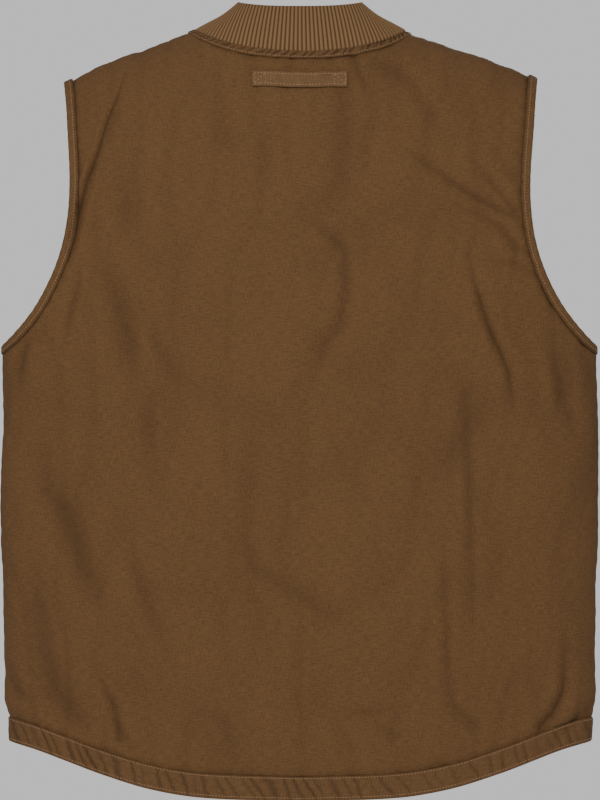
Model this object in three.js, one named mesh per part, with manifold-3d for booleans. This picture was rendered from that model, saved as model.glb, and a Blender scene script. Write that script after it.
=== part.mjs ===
// A sleeveless work vest of cotton duck, standing open and round as it does on a wearer.
// Its pieces are a back panel, two front panels, a rib-knit collar on a narrow neck band,
// two armhole bindings, a gathered hem in three lengths, a hanger loop and a front zip.
// Millimetres. +Z is up, the front faces -Y and the wearer's left is +X. The origin is the
// middle of the line between the two points where the shoulders meet the collar.
import * as THREE from "three";
import Module from "manifold-3d";

// Body
const CHEST_WIDTH = 610;
const BACK_DEPTH = 72;
const FRONT_DEPTH = 80;
const SECTION_POWER = 2.3;
const CENTRE_BACK_LENGTH = 762;
const TAIL_DROP = 59;
const WALL = 3;
const SEAM_GAP = 0.4;

// Shoulders
const SHOULDER_WIDTH = 484;
const SHOULDER_SLOPE = 0.41;
const SHOULDER_EASE = 60;
const BACK_SHOULDER_ROLL = 130;
const FRONT_SHOULDER_ROLL = 185;

// Neck and collar
const NECK_WIDTH = 212;
const BACK_NECK_DROP = 22.7;
const FRONT_NECK_DROP = 84;
const NECK_POWER = 2.6;
const NECK_BAND = 9.4;
const NECK_BAND_WALL = 4;
const COLLAR_WALL = 4;
const COLLAR_GAP = 1.5;
const COLLAR_TOP_WIDTH = 124;
const COLLAR_TOP_BACK = 40;
const COLLAR_TOP_FRONT = 52;
const COLLAR_TOP_POWER = 2.7;
const COLLAR_RISE_SIDE = 28.6;
const COLLAR_RISE_BACK = 23;
const COLLAR_RISE_FRONT = -42;
const COLLAR_BULGE = 2.5;
const RIB_PITCH = 4.4;
const RIB_DEPTH = 1.1;
const RIB_LEAN = 0.24;

// Armholes
const ARMHOLE_DEPTH = 270;
const FRONT_ARMHOLE_CUT = 17;
const BINDING = 10;
const BINDING_WALL = 4.4;

// Hem
const HEM_BAND = 25;
const HEM_WALL = 4.2;
const HEM_GAP = 0.8;
const GATHER_PITCH = 16;
const GATHER_HEIGHT = 1.7;
const GATHER_SLANT = 9;

// Hanger loop
const LOOP_LENGTH = 96;
const LOOP_HEIGHT = 15.4;
const LOOP_WALL = 2;
const LOOP_BELOW_SEAM = 22.7;
const LOOP_SEAT = 0.3;
const LOOP_SLACK = 11;
const LOOP_SEWN_END = 13;
const LOOP_RAMP = 14;

// Zip
const ZIP_WIDTH = 13;
const ZIP_TAPE = 2;
const ZIP_CHAIN_WIDTH = 5.6;
const ZIP_CHAIN_RISE = 1.5;
const SLIDER_WIDTH = 9;
const SLIDER_DEPTH = 5.5;
const SLIDER_HEIGHT = 13;
const PULL_WIDTH = 6.5;
const PULL_DEPTH = 1.8;
const PULL_LENGTH = 30;

// How wide and deep the body is at each level. Down is a share of the drop from the origin to the
// lowest edge, wide of half the chest, back and front of their own depths.
const BODY_LEVELS = [
  { down: 0.0, wide: 0.99, back: 0.97, front: 0.93 },
  { down: 0.2, wide: 0.99, back: 0.99, front: 0.96 },
  { down: 0.4, wide: 0.99, back: 1.0, front: 1.0 },
  { down: 0.58, wide: 1.0, back: 0.98, front: 1.0 },
  { down: 0.78, wide: 0.992, back: 0.98, front: 0.97 },
  { down: 0.87, wide: 0.987, back: 0.97, front: 0.94 },
  { down: 0.9, wide: 0.974, back: 0.9, front: 0.87 },
  { down: 1.0, wide: 0.974, back: 0.9, front: 0.87 },
];

// The armhole's edge from the shoulder's tip to the underarm. Down is a share of its depth, out
// of the way from the tip to the side, and cut of how much further in the front is cut.
const ARMHOLE_EDGE = [
  { down: 0.0, out: 0.0, cut: 0.0 },
  { down: 0.15, out: -0.07, cut: 0.45 },
  { down: 0.38, out: -0.13, cut: 1.0 },
  { down: 0.55, out: -0.08, cut: 1.0 },
  { down: 0.69, out: 0.08, cut: 0.85 },
  { down: 0.81, out: 0.33, cut: 0.6 },
  { down: 0.9, out: 0.6, cut: 0.35 },
  { down: 0.97, out: 0.87, cut: 0.12 },
  { down: 1.0, out: 1.0, cut: 0.0 },
];

// The tail's lower edge: aside is a share of half the width, rise of the tail's drop.
const TAIL_EDGE = [
  { aside: 0.0, rise: 0.0 },
  { aside: 0.34, rise: 0.06 },
  { aside: 0.51, rise: 0.2 },
  { aside: 0.68, rise: 0.46 },
  { aside: 0.8, rise: 0.68 },
  { aside: 0.9, rise: 0.86 },
  { aside: 1.0, rise: 1.0 },
];

// Soft folds of the cloth, as grooves from one point to another. Places aside are shares of half
// the chest (the wearer's left is positive), places down of the whole drop, wide of half the
// chest and deep of the body's depth on that face.
const BACK_FOLDS = [
  { aside: 0.6, down: 0.07, toAside: 0.74, toDown: 0.25, wide: 0.045, deep: 0.08 },
  { aside: 0.72, down: 0.2, toAside: 0.88, toDown: 0.37, wide: 0.045, deep: 0.06 },
  { aside: 0.63, down: 0.27, toAside: 0.52, toDown: 0.46, wide: 0.06, deep: 0.07 },
  { aside: 0.5, down: 0.42, toAside: 0.48, toDown: 0.58, wide: 0.05, deep: 0.04 },
  { aside: -0.16, down: 0.11, toAside: -0.06, toDown: 0.24, wide: 0.05, deep: 0.04 },
  { aside: -0.12, down: 0.27, toAside: -0.14, toDown: 0.41, wide: 0.06, deep: 0.08 },
  { aside: -0.08, down: 0.4, toAside: 0.01, toDown: 0.6, wide: 0.05, deep: 0.06 },
  { aside: 0.17, down: 0.53, toAside: 0.1, toDown: 0.7, wide: 0.05, deep: 0.05 },
  { aside: 0.03, down: 0.7, toAside: -0.14, toDown: 0.8, wide: 0.05, deep: 0.04 },
  { aside: -0.38, down: 0.15, toAside: -0.76, toDown: 0.28, wide: 0.045, deep: 0.06 },
  { aside: -0.58, down: 0.31, toAside: -0.69, toDown: 0.44, wide: 0.05, deep: 0.09 },
  { aside: -0.57, down: 0.52, toAside: -0.56, toDown: 0.76, wide: 0.045, deep: 0.05 },
  { aside: -0.5, down: 0.72, toAside: -0.52, toDown: 0.9, wide: 0.045, deep: 0.05 },
  { aside: -0.86, down: 0.39, toAside: -0.92, toDown: 0.54, wide: 0.045, deep: 0.06 },
  { aside: 0.9, down: 0.54, toAside: 0.68, toDown: 0.76, wide: 0.06, deep: 0.08 },
  { aside: 0.62, down: 0.83, toAside: 0.58, toDown: 0.92, wide: 0.045, deep: 0.06 },
  { aside: 0.92, down: 0.81, toAside: 0.8, toDown: 0.9, wide: 0.045, deep: 0.07 },
  { aside: -0.78, down: 0.8, toAside: -0.84, toDown: 0.9, wide: 0.045, deep: 0.07 },
];
const FRONT_FOLDS = [
  { aside: 0.74, down: 0.3, toAside: 0.5, toDown: 0.5, wide: 0.06, deep: 0.06 },
  { aside: -0.74, down: 0.3, toAside: -0.5, toDown: 0.5, wide: 0.06, deep: 0.06 },
  { aside: 0.36, down: 0.3, toAside: 0.32, toDown: 0.62, wide: 0.06, deep: 0.04 },
  { aside: -0.34, down: 0.36, toAside: -0.3, toDown: 0.7, wide: 0.06, deep: 0.04 },
  { aside: 0.6, down: 0.62, toAside: 0.64, toDown: 0.88, wide: 0.05, deep: 0.06 },
  { aside: -0.62, down: 0.6, toAside: -0.6, toDown: 0.88, wide: 0.05, deep: 0.06 },
];

// How finely the pieces are divided
const SHOULDER_COLUMNS = 6;
const NECK_COLUMNS = 7;
const ARMHOLE_ROWS = 15;
const SIDE_ROWS = 11;
const ZIP_ROWS = 30;
const LOOP_STEPS = 18;
const SAMPLES = 160;
const STEP = 1e-3;

const QUARTER = Math.PI / 2;
const DROP = BACK_NECK_DROP + CENTRE_BACK_LENGTH;
const BACK = { sign: 1, depth: BACK_DEPTH, roll: BACK_SHOULDER_ROLL, column: "back" };
const FRONT = { sign: -1, depth: FRONT_DEPTH, roll: FRONT_SHOULDER_ROLL, column: "front" };
BACK.folds = BACK_FOLDS;
FRONT.folds = FRONT_FOLDS;
const ZIP_EDGE = ZIP_WIDTH / 2 + SEAM_GAP;

const wasm = await Module();
wasm.setup();

const mix = THREE.MathUtils.lerp;
const clamp = THREE.MathUtils.clamp;
const shares = (count) => Array.from({ length: count + 1 }, (_, i) => i / count);

// A smooth value from a table, by a cubic step between the rows on each side.
function along(rows, key, column, at) {
  let i = 0;
  while (i < rows.length - 2 && rows[i + 1][key] < at) i += 1;
  const [a, b] = [rows[i], rows[i + 1]];
  const before = rows[Math.max(i - 1, 0)];
  const after = rows[Math.min(i + 2, rows.length - 1)];
  const span = b[key] - a[key];
  const slopeA = (b[column] - before[column]) / (b[key] - before[key]);
  const slopeB = (after[column] - a[column]) / (after[key] - a[key]);
  const t = clamp((at - a[key]) / span, 0, 1);
  const t2 = t * t;
  const t3 = t2 * t;
  const ends = (2 * t3 - 3 * t2 + 1) * a[column] + (3 * t2 - 2 * t3) * b[column];
  return ends + span * ((t3 - 2 * t2 + t) * slopeA + (t3 - t2) * slopeB);
}

const level = (z, column) => along(BODY_LEVELS, "down", column, clamp(-z / DROP, 0, 1));
const halfWidth = (z) => (CHEST_WIDTH / 2) * level(z, "wide");

// The height of the shoulder line above a place aside, 0 where it meets the collar.
function ridge(x) {
  const bow = (at) => Math.hypot(at, SHOULDER_EASE);
  return SHOULDER_SLOPE * (bow(NECK_WIDTH / 2) - bow(x));
}

// The body is a surface with two angles: around runs from the middle of a face, at 0, to the side
// seam, at a quarter turn, and over runs from the shoulder line, at 0, down that face.
function bare(face, { around, over }) {
  const sine = Math.sin(around);
  const cosine = Math.cos(around);
  const aside = Math.sign(sine) * Math.abs(sine) ** (2 / SECTION_POWER);
  const inward = Math.sign(cosine) * Math.abs(cosine) ** (2 / SECTION_POWER);
  const top = halfWidth(0) * aside;
  const down = over < QUARTER ? 1 - Math.cos(over) : 1 + over - QUARTER;
  const z = ridge(top) - face.roll * down;
  const deep = face.depth * level(z, face.column) * Math.sin(Math.min(over, QUARTER));
  return new THREE.Vector3(halfWidth(z) * aside, face.sign * deep * inward, z);
}

// The angles of the point of a face that is seen at x and z.
function seen(face, x, z) {
  const share = Math.min(Math.abs(x) / halfWidth(z), 1);
  const around = Math.sign(x) * Math.asin(share ** (SECTION_POWER / 2));
  const top = (halfWidth(0) * x) / halfWidth(z);
  const down = Math.max(ridge(top) - z, 0) / face.roll;
  return { around, over: down < 1 ? Math.acos(1 - down) : down - 1 + QUARTER };
}

function tangents(face, { around, over }) {
  const at = (a, o) => bare(face, { around: around + a * STEP, over: over + o * STEP });
  const round = at(1, 0).sub(at(-1, 0));
  const down = at(0, 1).sub(at(0, -1));
  return [round.divideScalar(2 * STEP), down.divideScalar(2 * STEP)];
}

function normal(face, place) {
  const [round, down] = tangents(face, place);
  return round.cross(down).multiplyScalar(face.sign).normalize();
}

// How far the folds push the cloth in at a place of a face.
function foldDepth(face, x, z) {
  let depth = 0;
  for (const fold of face.folds) {
    const start = new THREE.Vector2((fold.aside * CHEST_WIDTH) / 2, -fold.down * DROP);
    const end = new THREE.Vector2((fold.toAside * CHEST_WIDTH) / 2, -fold.toDown * DROP);
    const way = end.sub(start);
    const from = new THREE.Vector2(x, z).sub(start);
    const share = from.dot(way) / way.lengthSq();
    const off = from.cross(way) / way.length() / ((fold.wide * CHEST_WIDTH) / 2);
    depth += fold.deep * Math.exp(-((2 * share - 1) ** 4) - off * off);
  }
  return depth * face.depth;
}

// The cloth's point at a place of a face, lifted out from the body's surface.
function cloth(face, place, lift) {
  const point = bare(face, place);
  const out = lift - foldDepth(face, point.x, point.z);
  return point.addScaledVector(normal(face, place), out);
}

// A place beside a path of a face, the given way along the cloth to the path's right as it is
// seen from outside.
function beside(face, path, t, distance) {
  const place = path(t);
  const [round, down] = tangents(face, place);
  const out = round.clone().cross(down).multiplyScalar(face.sign);
  const way = bare(face, path(t + STEP)).sub(bare(face, path(t - STEP)));
  const right = way.cross(out).setLength(distance);
  const [rr, dd, rd] = [round.dot(round), down.dot(down), round.dot(down)];
  const [ar, ad] = [right.dot(round), right.dot(down)];
  const base = rr * dd - rd * rd;
  const around = place.around + (ar * dd - ad * rd) / base;
  const over = place.over + (ad * rr - ar * rd) / base;
  return { around: clamp(around, -QUARTER, QUARTER), over: Math.max(over, 0) };
}

// How far along a line of points, counted in points, stand the shares of its length.
function spread(points, at) {
  const lengths = [0];
  points.slice(1).forEach((point, i) => lengths.push(lengths[i] + point.distanceTo(points[i])));
  const total = lengths[lengths.length - 1];
  let i = 1;
  return at.map((share) => {
    while (i < points.length - 1 && lengths[i] < share * total) i += 1;
    return i - 1 + (share * total - lengths[i - 1]) / (lengths[i] - lengths[i - 1]);
  });
}

function pointAt(points, number) {
  const i = Math.min(Math.floor(number), points.length - 2);
  return points[i].clone().lerp(points[i + 1], number - i);
}

const lineLength = (points) =>
  points.slice(1).reduce((sum, point, i) => sum + point.distanceTo(points[i]), 0);

// The values of a path's t that stand the same length apart.
function even(face, path, count) {
  const points = shares(SAMPLES).map((t) => bare(face, path(t)));
  return spread(points, shares(count)).map((number) => number / SAMPLES);
}

// A closed solid from cross-sections that follow each other, each a ring of as many points. Each
// four-sided cell is split along its shorter diagonal.
function loft(sections, round = false) {
  const size = sections[0].length;
  const count = sections.length;
  const points = sections.flat();
  const positions = points.flatMap((point) => point.toArray());
  const at = (section, k) => (section % count) * size + (k % size);
  const index = [];
  const cell = (a, b, c, d) => {
    const across = points[a].distanceTo(points[c]) > points[b].distanceTo(points[d]);
    if (b === c) index.push(a, b, d);
    else index.push(...(across ? [a, b, d, b, c, d] : [a, b, c, a, c, d]));
  };
  for (let s = 0; s < (round ? count : count - 1); s += 1) {
    for (let k = 0; k < size; k += 1) {
      cell(at(s, k), at(s + 1, k), at(s + 1, k + 1), at(s, k + 1));
    }
  }
  for (let k = 0; !round && k < size - 2 - k; k += 1) {
    const ring = [k, k + 1, size - 2 - k, size - 1 - k];
    cell(...ring.map((corner) => at(0, corner)));
    const [a, b, c, d] = ring.map((corner) => at(count - 1, corner));
    cell(d, c, b, a);
  }
  const geometry = new THREE.BufferGeometry();
  geometry.setAttribute("position", new THREE.Float32BufferAttribute(positions, 3));
  geometry.setIndex(volume(positions, index) < 0 ? index.reverse() : index);
  geometry.computeVertexNormals();
  return geometry;
}

function volume(positions, index) {
  const corner = (i) => new THREE.Vector3().fromArray(positions, 3 * index[i]);
  let sum = 0;
  for (let i = 0; i < index.length; i += 3) {
    sum += corner(i).dot(corner(i + 1).cross(corner(i + 2)));
  }
  return sum;
}

// A wall on one face through a line of places, kept clear of the seams with the other face.
function wallSection(face, places, lift, thick) {
  const clear = (point) => {
    point.y = face.sign * Math.max(face.sign * point.y, SEAM_GAP / 2);
    return point;
  };
  const outer = places.map((place) => clear(cloth(face, place, lift)));
  const inner = places.map((place) => clear(cloth(face, place, lift - thick)));
  return [...outer, ...inner.reverse()];
}

// The armhole's edge on one face of a side, from the shoulder's tip at 0 to the underarm at 1.
// A row past each end mirrors its neighbour, so that the edge crosses both seams square.
function armholeEdge(face, side) {
  const tip = SHOULDER_WIDTH / 2;
  const places = ARMHOLE_EDGE.map(({ down, out, cut }) => {
    const z = ridge(tip) - down * ARMHOLE_DEPTH;
    const further = face === FRONT ? cut * FRONT_ARMHOLE_CUT : 0;
    const { around, over } = seen(face, mix(tip, halfWidth(z), out) - further, z);
    return new THREE.Vector2(around, over);
  });
  const last = places.length - 1;
  places[0].y = 0;
  const above = new THREE.Vector2(places[1].x, -places[1].y);
  const beyond = new THREE.Vector2(2 * QUARTER - places[last - 1].x, places[last - 1].y);
  const curve = new THREE.SplineCurve([above, ...places, beyond]);
  return (t) => {
    const at = curve.getPoint((1 + t * last) / (last + 2));
    return { around: side * at.x, over: at.y };
  };
}

// The collar seam on one face of a side, from the middle (or from a place aside) at 0 to the
// shoulder line at 1.
function neckEdge(face, side, from = 0) {
  const half = NECK_WIDTH / 2;
  const drop = face === BACK ? BACK_NECK_DROP : FRONT_NECK_DROP;
  const start = Math.asin(from / half);
  return (t) => {
    const turn = mix(start, QUARTER, t);
    const x = half * Math.sin(turn);
    const z = -drop * (1 - Math.abs(x / half) ** NECK_POWER);
    const place = seen(face, x, z);
    return { around: side * place.around, over: turn > QUARTER ? -place.over : place.over };
  };
}

// The angles of a place above the vest's lower edge.
function aboveHem(face, around, above) {
  const aside = Math.abs(Math.sin(around)) ** (2 / SECTION_POWER);
  const rise = face === BACK ? along(TAIL_EDGE, "aside", "rise", aside) : 1;
  const z = -DROP + rise * TAIL_DROP + above;
  return { around, over: seen(face, aside * halfWidth(z), z).over };
}

// The places where the seams of one side meet, the same for every piece that shares them.
function seamsOf(face, side) {
  const arm = armholeEdge(face, side);
  const neck = neckEdge(face, side, face === FRONT ? ZIP_EDGE : 0);
  const inward = -side * face.sign;
  const armAt = even(face, arm, ARMHOLE_ROWS);
  const neckAt = even(face, neck, NECK_COLUMNS);
  return {
    armAt,
    neckAt,
    besideArm: (t, distance) => beside(face, arm, t, inward * distance),
    besideNeck: (t, distance) => beside(face, neck, t, inward * distance),
  };
}

// The top and the side of a panel: along the collar band from the middle out and along the
// shoulder, then down beside the armhole and down the side seam.
function panelEdges(face, side) {
  const seams = seamsOf(face, side);
  const neck = seams.neckAt.map((t) => seams.besideNeck(t, NECK_BAND + SEAM_GAP));
  const arm = seams.armAt.map((t) => seams.besideArm(t, BINDING + SEAM_GAP));
  const from = neck[NECK_COLUMNS].around;
  const to = arm[0].around;
  const shoulder = shares(SHOULDER_COLUMNS).map((u) => ({ around: mix(from, to, u), over: 0 }));
  const under = arm[ARMHOLE_ROWS].over;
  const end = aboveHem(face, side * QUARTER, HEM_BAND + HEM_GAP).over;
  const seam = shares(SIDE_ROWS).map((v) => ({ around: side * QUARTER, over: mix(under, end, v) }));
  return { top: [...neck, ...shoulder.slice(1)], side: [...arm, ...seam.slice(1)] };
}

const COLUMNS = NECK_COLUMNS + SHOULDER_COLUMNS;
const ROWS = ARMHOLE_ROWS + SIDE_ROWS;

// The lower edge of half a panel, its columns closer together toward the side.
function panelFoot(face, side, from) {
  const line = (t) => aboveHem(face, side * mix(from, QUARTER, t), HEM_BAND + HEM_GAP);
  return even(face, line, COLUMNS).map((t, i) => line((t + i / COLUMNS) / 2));
}

// A panel between four lines of places, blended from all of them. The top line's shape fades
// within the first rows.
function panel(face, top, foot, start, end) {
  const columns = top.length - 1;
  const blend = (key, i, j) => {
    const [u, v] = [i / columns, 1 - (1 - j / ROWS) ** 3];
    const level = mix(top[i][key], foot[i][key], v) + mix(start[j][key], end[j][key], u);
    const upper = mix(top[0][key], top[columns][key], u);
    const lower = mix(foot[0][key], foot[columns][key], u);
    return level - mix(upper, lower, v);
  };
  const sections = top.map((_, i) => {
    const column = start.map((__, j) => ({ around: blend("around", i, j), over: blend("over", i, j) }));
    return wallSection(face, column, 0, WALL);
  });
  return loft(sections);
}

function backPanel() {
  const left = panelEdges(BACK, 1);
  const right = panelEdges(BACK, -1);
  const join = (outward, other) => [...outward.slice(1).reverse(), ...other];
  const top = join(right.top, left.top);
  const foot = join(panelFoot(BACK, -1, 0), panelFoot(BACK, 1, 0));
  return panel(BACK, top, foot, right.side, left.side);
}

function frontPanel(side) {
  const edges = panelEdges(FRONT, side);
  const bottom = -DROP + TAIL_DROP + HEM_BAND + HEM_GAP;
  const top = bare(FRONT, edges.top[0]).z;
  const zip = shares(ROWS).map((v) => seen(FRONT, side * ZIP_EDGE, mix(top, bottom, v)));
  const foot = panelFoot(FRONT, side, Math.abs(zip[ROWS].around));
  return panel(FRONT, [zip[0], ...edges.top.slice(1)], foot, zip, edges.side);
}

// The strip round one armhole: over its edge on the back, down and up again on the front.
function binding(side) {
  const lift = (BINDING_WALL - WALL) / 2;
  const nose = BINDING_WALL / 3;
  const half = (face) => {
    const seams = seamsOf(face, side);
    return seams.armAt.map((t) => {
      const at = (distance, out) => cloth(face, seams.besideArm(t, distance), out);
      return [
        at(BINDING, lift),
        at(nose, lift),
        at(0, -WALL / 2),
        at(nose, -WALL - lift),
        at(BINDING, -WALL - lift),
      ];
    });
  };
  const front = half(FRONT).slice(1, -1).reverse();
  return loft([...half(BACK), ...front], true);
}

// The strip under the collar, from one side of the zip round the back to the other.
function neckBand() {
  const lift = (NECK_BAND_WALL - WALL) / 2;
  const part = (face, side) => {
    const seams = seamsOf(face, side);
    return seams.neckAt.map((t) => {
      const at = (distance, out) => cloth(face, seams.besideNeck(t, distance), out);
      return [at(0, lift), at(NECK_BAND, lift), at(NECK_BAND, lift - NECK_BAND_WALL), at(0, lift - NECK_BAND_WALL)];
    });
  };
  const left = [...part(FRONT, 1), ...part(BACK, 1).reverse().slice(1)];
  const right = [...part(BACK, -1).slice(1), ...part(FRONT, -1).reverse().slice(1)];
  return loft([...left, ...right]);
}

// The top line of the collar at an angle round it, 0 at the back and a half turn at the front.
function collarTop(turn) {
  const [sine, cosine] = [Math.sin(turn), Math.cos(turn)];
  const power = 2 / COLLAR_TOP_POWER;
  const behind = cosine > 0;
  const deep = Math.abs(cosine) ** power;
  const y = behind ? COLLAR_TOP_BACK * deep : -COLLAR_TOP_FRONT * deep;
  const end = behind ? COLLAR_RISE_BACK : COLLAR_RISE_FRONT;
  const z = mix(COLLAR_RISE_SIDE, end, deep ** 2);
  return new THREE.Vector3((COLLAR_TOP_WIDTH / 2) * Math.abs(sine) ** power, y, z);
}

// Half of the collar, from the middle of the back to the zip, a crest and a valley to each rib.
function collarHalf() {
  const seamAt = (lift) => {
    const [behind, before] = [BACK, FRONT].map((face) => {
      const { besideNeck } = seamsOf(face, 1);
      return shares(SAMPLES).map((t) => cloth(face, besideNeck(t, -COLLAR_GAP), lift));
    });
    return [...behind, ...before.reverse().slice(1)];
  };
  const seam = seamAt(0);
  const root = seamAt(-COLLAR_WALL);
  const top = shares(2 * SAMPLES).map((t) => collarTop(t * 2 * QUARTER));
  const closed = top.findLastIndex((point) => point.x > ZIP_EDGE) + 1;
  const rim = [...top.slice(0, closed), top[closed].clone().setX(ZIP_EDGE)];
  const ribs = Math.round(lineLength(seam) / RIB_PITCH);
  const at = shares(2 * ribs);
  const lean = (s) => s + (RIB_LEAN * Math.sin(Math.PI * s)) / Math.PI;
  const footAt = spread(seam, at);
  const feet = footAt.map((number) => pointAt(seam, number));
  const roots = footAt.map((number) => pointAt(root, number));
  const heads = spread(rim, at.map(lean)).map((number) => pointAt(rim, number));
  return at.map((_, i) => {
    const up = heads[i].clone().sub(feet[i]);
    const next = feet[Math.min(i + 1, 2 * ribs)].clone();
    const way = next.sub(feet[Math.max(i - 1, 0)]);
    const out = up.clone().cross(way).normalize();
    const sunk = i % 2 ? RIB_DEPTH : 0;
    const middle = feet[i].clone().lerp(heads[i], 0.5);
    return [
      feet[i].clone().addScaledVector(out, -sunk),
      middle.addScaledVector(out, COLLAR_BULGE - sunk),
      heads[i].clone().addScaledVector(out, -sunk),
      heads[i].clone().addScaledVector(out, -COLLAR_WALL),
      roots[i],
    ];
  });
}

function collar() {
  const left = collarHalf();
  const mirrored = (point) => new THREE.Vector3(-point.x, point.y, point.z);
  const right = left.slice(1).map((section) => section.map(mirrored));
  return loft([...right.reverse(), ...left]);
}

// A length of the hem band on one face, its gathers slanting down toward the wearer's right.
function hem(face, from, to) {
  const lift = (HEM_WALL - WALL) / 2;
  const line = (t) => aboveHem(face, mix(from, to, t), 0);
  const length = lineLength(shares(SAMPLES).map((t) => bare(face, line(t))));
  const count = 2 * Math.round(length / GATHER_PITCH);
  const slant = GATHER_SLANT / length;
  const sections = even(face, line, count).map((t, i) => {
    const sunk = i % 2 ? GATHER_HEIGHT : 0;
    const place = (height) => {
      const shift = slant * (height - 0.5) * (1 - (2 * t - 1) ** 8);
      return aboveHem(face, mix(from, to, clamp(t + shift, 0, 1)), height * HEM_BAND);
    };
    const [foot, middle, head] = [place(0), place(0.5), place(1)];
    const outer = [
      ...wallSection(face, [foot], lift, HEM_WALL),
      ...wallSection(face, [middle], lift - sunk, HEM_WALL),
      ...wallSection(face, [head], lift, HEM_WALL),
    ];
    return [outer[0], outer[2], outer[4], outer[5], outer[1]];
  });
  return loft(sections);
}

// The tab that hangs the vest: sewn flat at both ends, its middle standing off the back panel.
function hangerLoop(back) {
  const target = new THREE.Mesh(back, new THREE.MeshStandardMaterial());
  const ray = new THREE.Raycaster();
  const sections = shares(LOOP_STEPS).map((share) => {
    const x = mix(-LOOP_LENGTH / 2, LOOP_LENGTH / 2, share);
    const free = (LOOP_LENGTH / 2 - Math.abs(x) - LOOP_SEWN_END) / LOOP_RAMP;
    const off = LOOP_SEAT + LOOP_SLACK * THREE.MathUtils.smoothstep(free, 0, 1);
    const at = (down, lift) => {
      const place = seen(BACK, x, -BACK_NECK_DROP - down);
      const out = normal(BACK, place);
      const above = bare(BACK, place).addScaledVector(out, BACK_DEPTH);
      ray.set(above, out.clone().negate());
      return ray.intersectObject(target)[0].point.addScaledVector(out, lift);
    };
    const low = LOOP_BELOW_SEAM + LOOP_HEIGHT;
    return [
      at(LOOP_BELOW_SEAM, off + LOOP_WALL),
      at(low, off + LOOP_WALL),
      at(low, off),
      at(LOOP_BELOW_SEAM, off),
    ];
  });
  return loft(sections);
}

function solidOf(geometry) {
  const vertProperties = geometry.getAttribute("position").array;
  const triVerts = new Uint32Array(geometry.index.array);
  return new wasm.Manifold(new wasm.Mesh({ numProp: 3, vertProperties, triVerts }));
}

function geometryOf(solid) {
  const { vertProperties, triVerts } = solid.getMesh();
  const geometry = new THREE.BufferGeometry();
  geometry.setAttribute("position", new THREE.BufferAttribute(vertProperties, 3));
  geometry.setIndex(new THREE.BufferAttribute(triVerts, 1));
  geometry.computeVertexNormals();
  return geometry;
}

// The closed front zip: its tape and chain follow the collar and the body down to the hem, and
// the slider with its pull sits at the top.
function frontZip() {
  const seam = bare(FRONT, neckEdge(FRONT, 1)(0));
  const collarLine = shares(4).map((t) => collarTop(2 * QUARTER).setX(0).lerp(seam, t));
  const start = neckEdge(FRONT, 1)(0).over;
  const end = aboveHem(FRONT, 0, 0).over;
  const body = shares(ZIP_ROWS).map((t) => cloth(FRONT, { around: 0, over: mix(start, end, t) }, 0));
  const line = [...collarLine.slice(0, -1), ...body];
  const sections = line.map((point, i) => {
    const way = line[Math.min(i + 1, line.length - 1)].clone().sub(line[Math.max(i - 1, 0)]);
    const out = new THREE.Vector3(0, way.z, -way.y).normalize();
    const at = (x, lift) => point.clone().setX(x).addScaledVector(out, lift);
    const face = (ZIP_TAPE - WALL) / 2;
    const [tape, chain] = [ZIP_WIDTH / 2, ZIP_CHAIN_WIDTH / 2];
    const cord = face + ZIP_CHAIN_RISE / 4;
    return [
      at(-tape, face - ZIP_TAPE),
      at(-tape, face),
      at(-chain, cord),
      at(-chain, face + ZIP_CHAIN_RISE),
      at(chain, face + ZIP_CHAIN_RISE),
      at(chain, cord),
      at(tape, face),
      at(tape, face - ZIP_TAPE),
    ];
  });
  const [top, foot] = [line[0], line[2]];
  const lean = Math.atan2(top.y - foot.y, top.z - foot.z);
  const slider = new THREE.BoxGeometry(SLIDER_WIDTH, SLIDER_DEPTH, SLIDER_HEIGHT);
  slider.translate(0, 0, -SLIDER_HEIGHT);
  const pull = new THREE.BoxGeometry(PULL_WIDTH, PULL_DEPTH, PULL_LENGTH);
  pull.translate(0, -SLIDER_DEPTH / 2, -SLIDER_HEIGHT - PULL_LENGTH / 2);
  const place = (box) => box.rotateX(-lean).translate(0, top.y, top.z);
  const solids = [loft(sections), place(slider), place(pull)].map(joined);
  return geometryOf(solids[0].add(solids[1]).add(solids[2]));
}

// A box or a loft as a solid whose corners are shared by its faces.
function joined(geometry) {
  const position = geometry.getAttribute("position");
  const seenAt = new Map();
  const points = [];
  const number = Array.from({ length: position.count }, (_, i) => {
    const point = new THREE.Vector3().fromBufferAttribute(position, i);
    const key = point.toArray().map((value) => value.toFixed(4)).join();
    if (!seenAt.has(key)) {
      seenAt.set(key, seenAt.size);
      points.push(...point.toArray());
    }
    return seenAt.get(key);
  });
  const merged = new THREE.BufferGeometry();
  merged.setAttribute("position", new THREE.Float32BufferAttribute(points, 3));
  merged.setIndex(Array.from(geometry.index.array, (i) => number[i]));
  return solidOf(merged);
}

const duck = { color: 0x664830, roughness: 0.92, metalness: 0 };
const MATERIALS = {
  duck,
  trim: { ...duck, color: 0x654a30 },
  rib: { ...duck, color: 0x6e5135, roughness: 0.95 },
  loop: { ...duck, color: 0x6b4e33 },
  zip: { color: 0x4a3524, roughness: 0.55, metalness: 0.35 },
};

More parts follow.
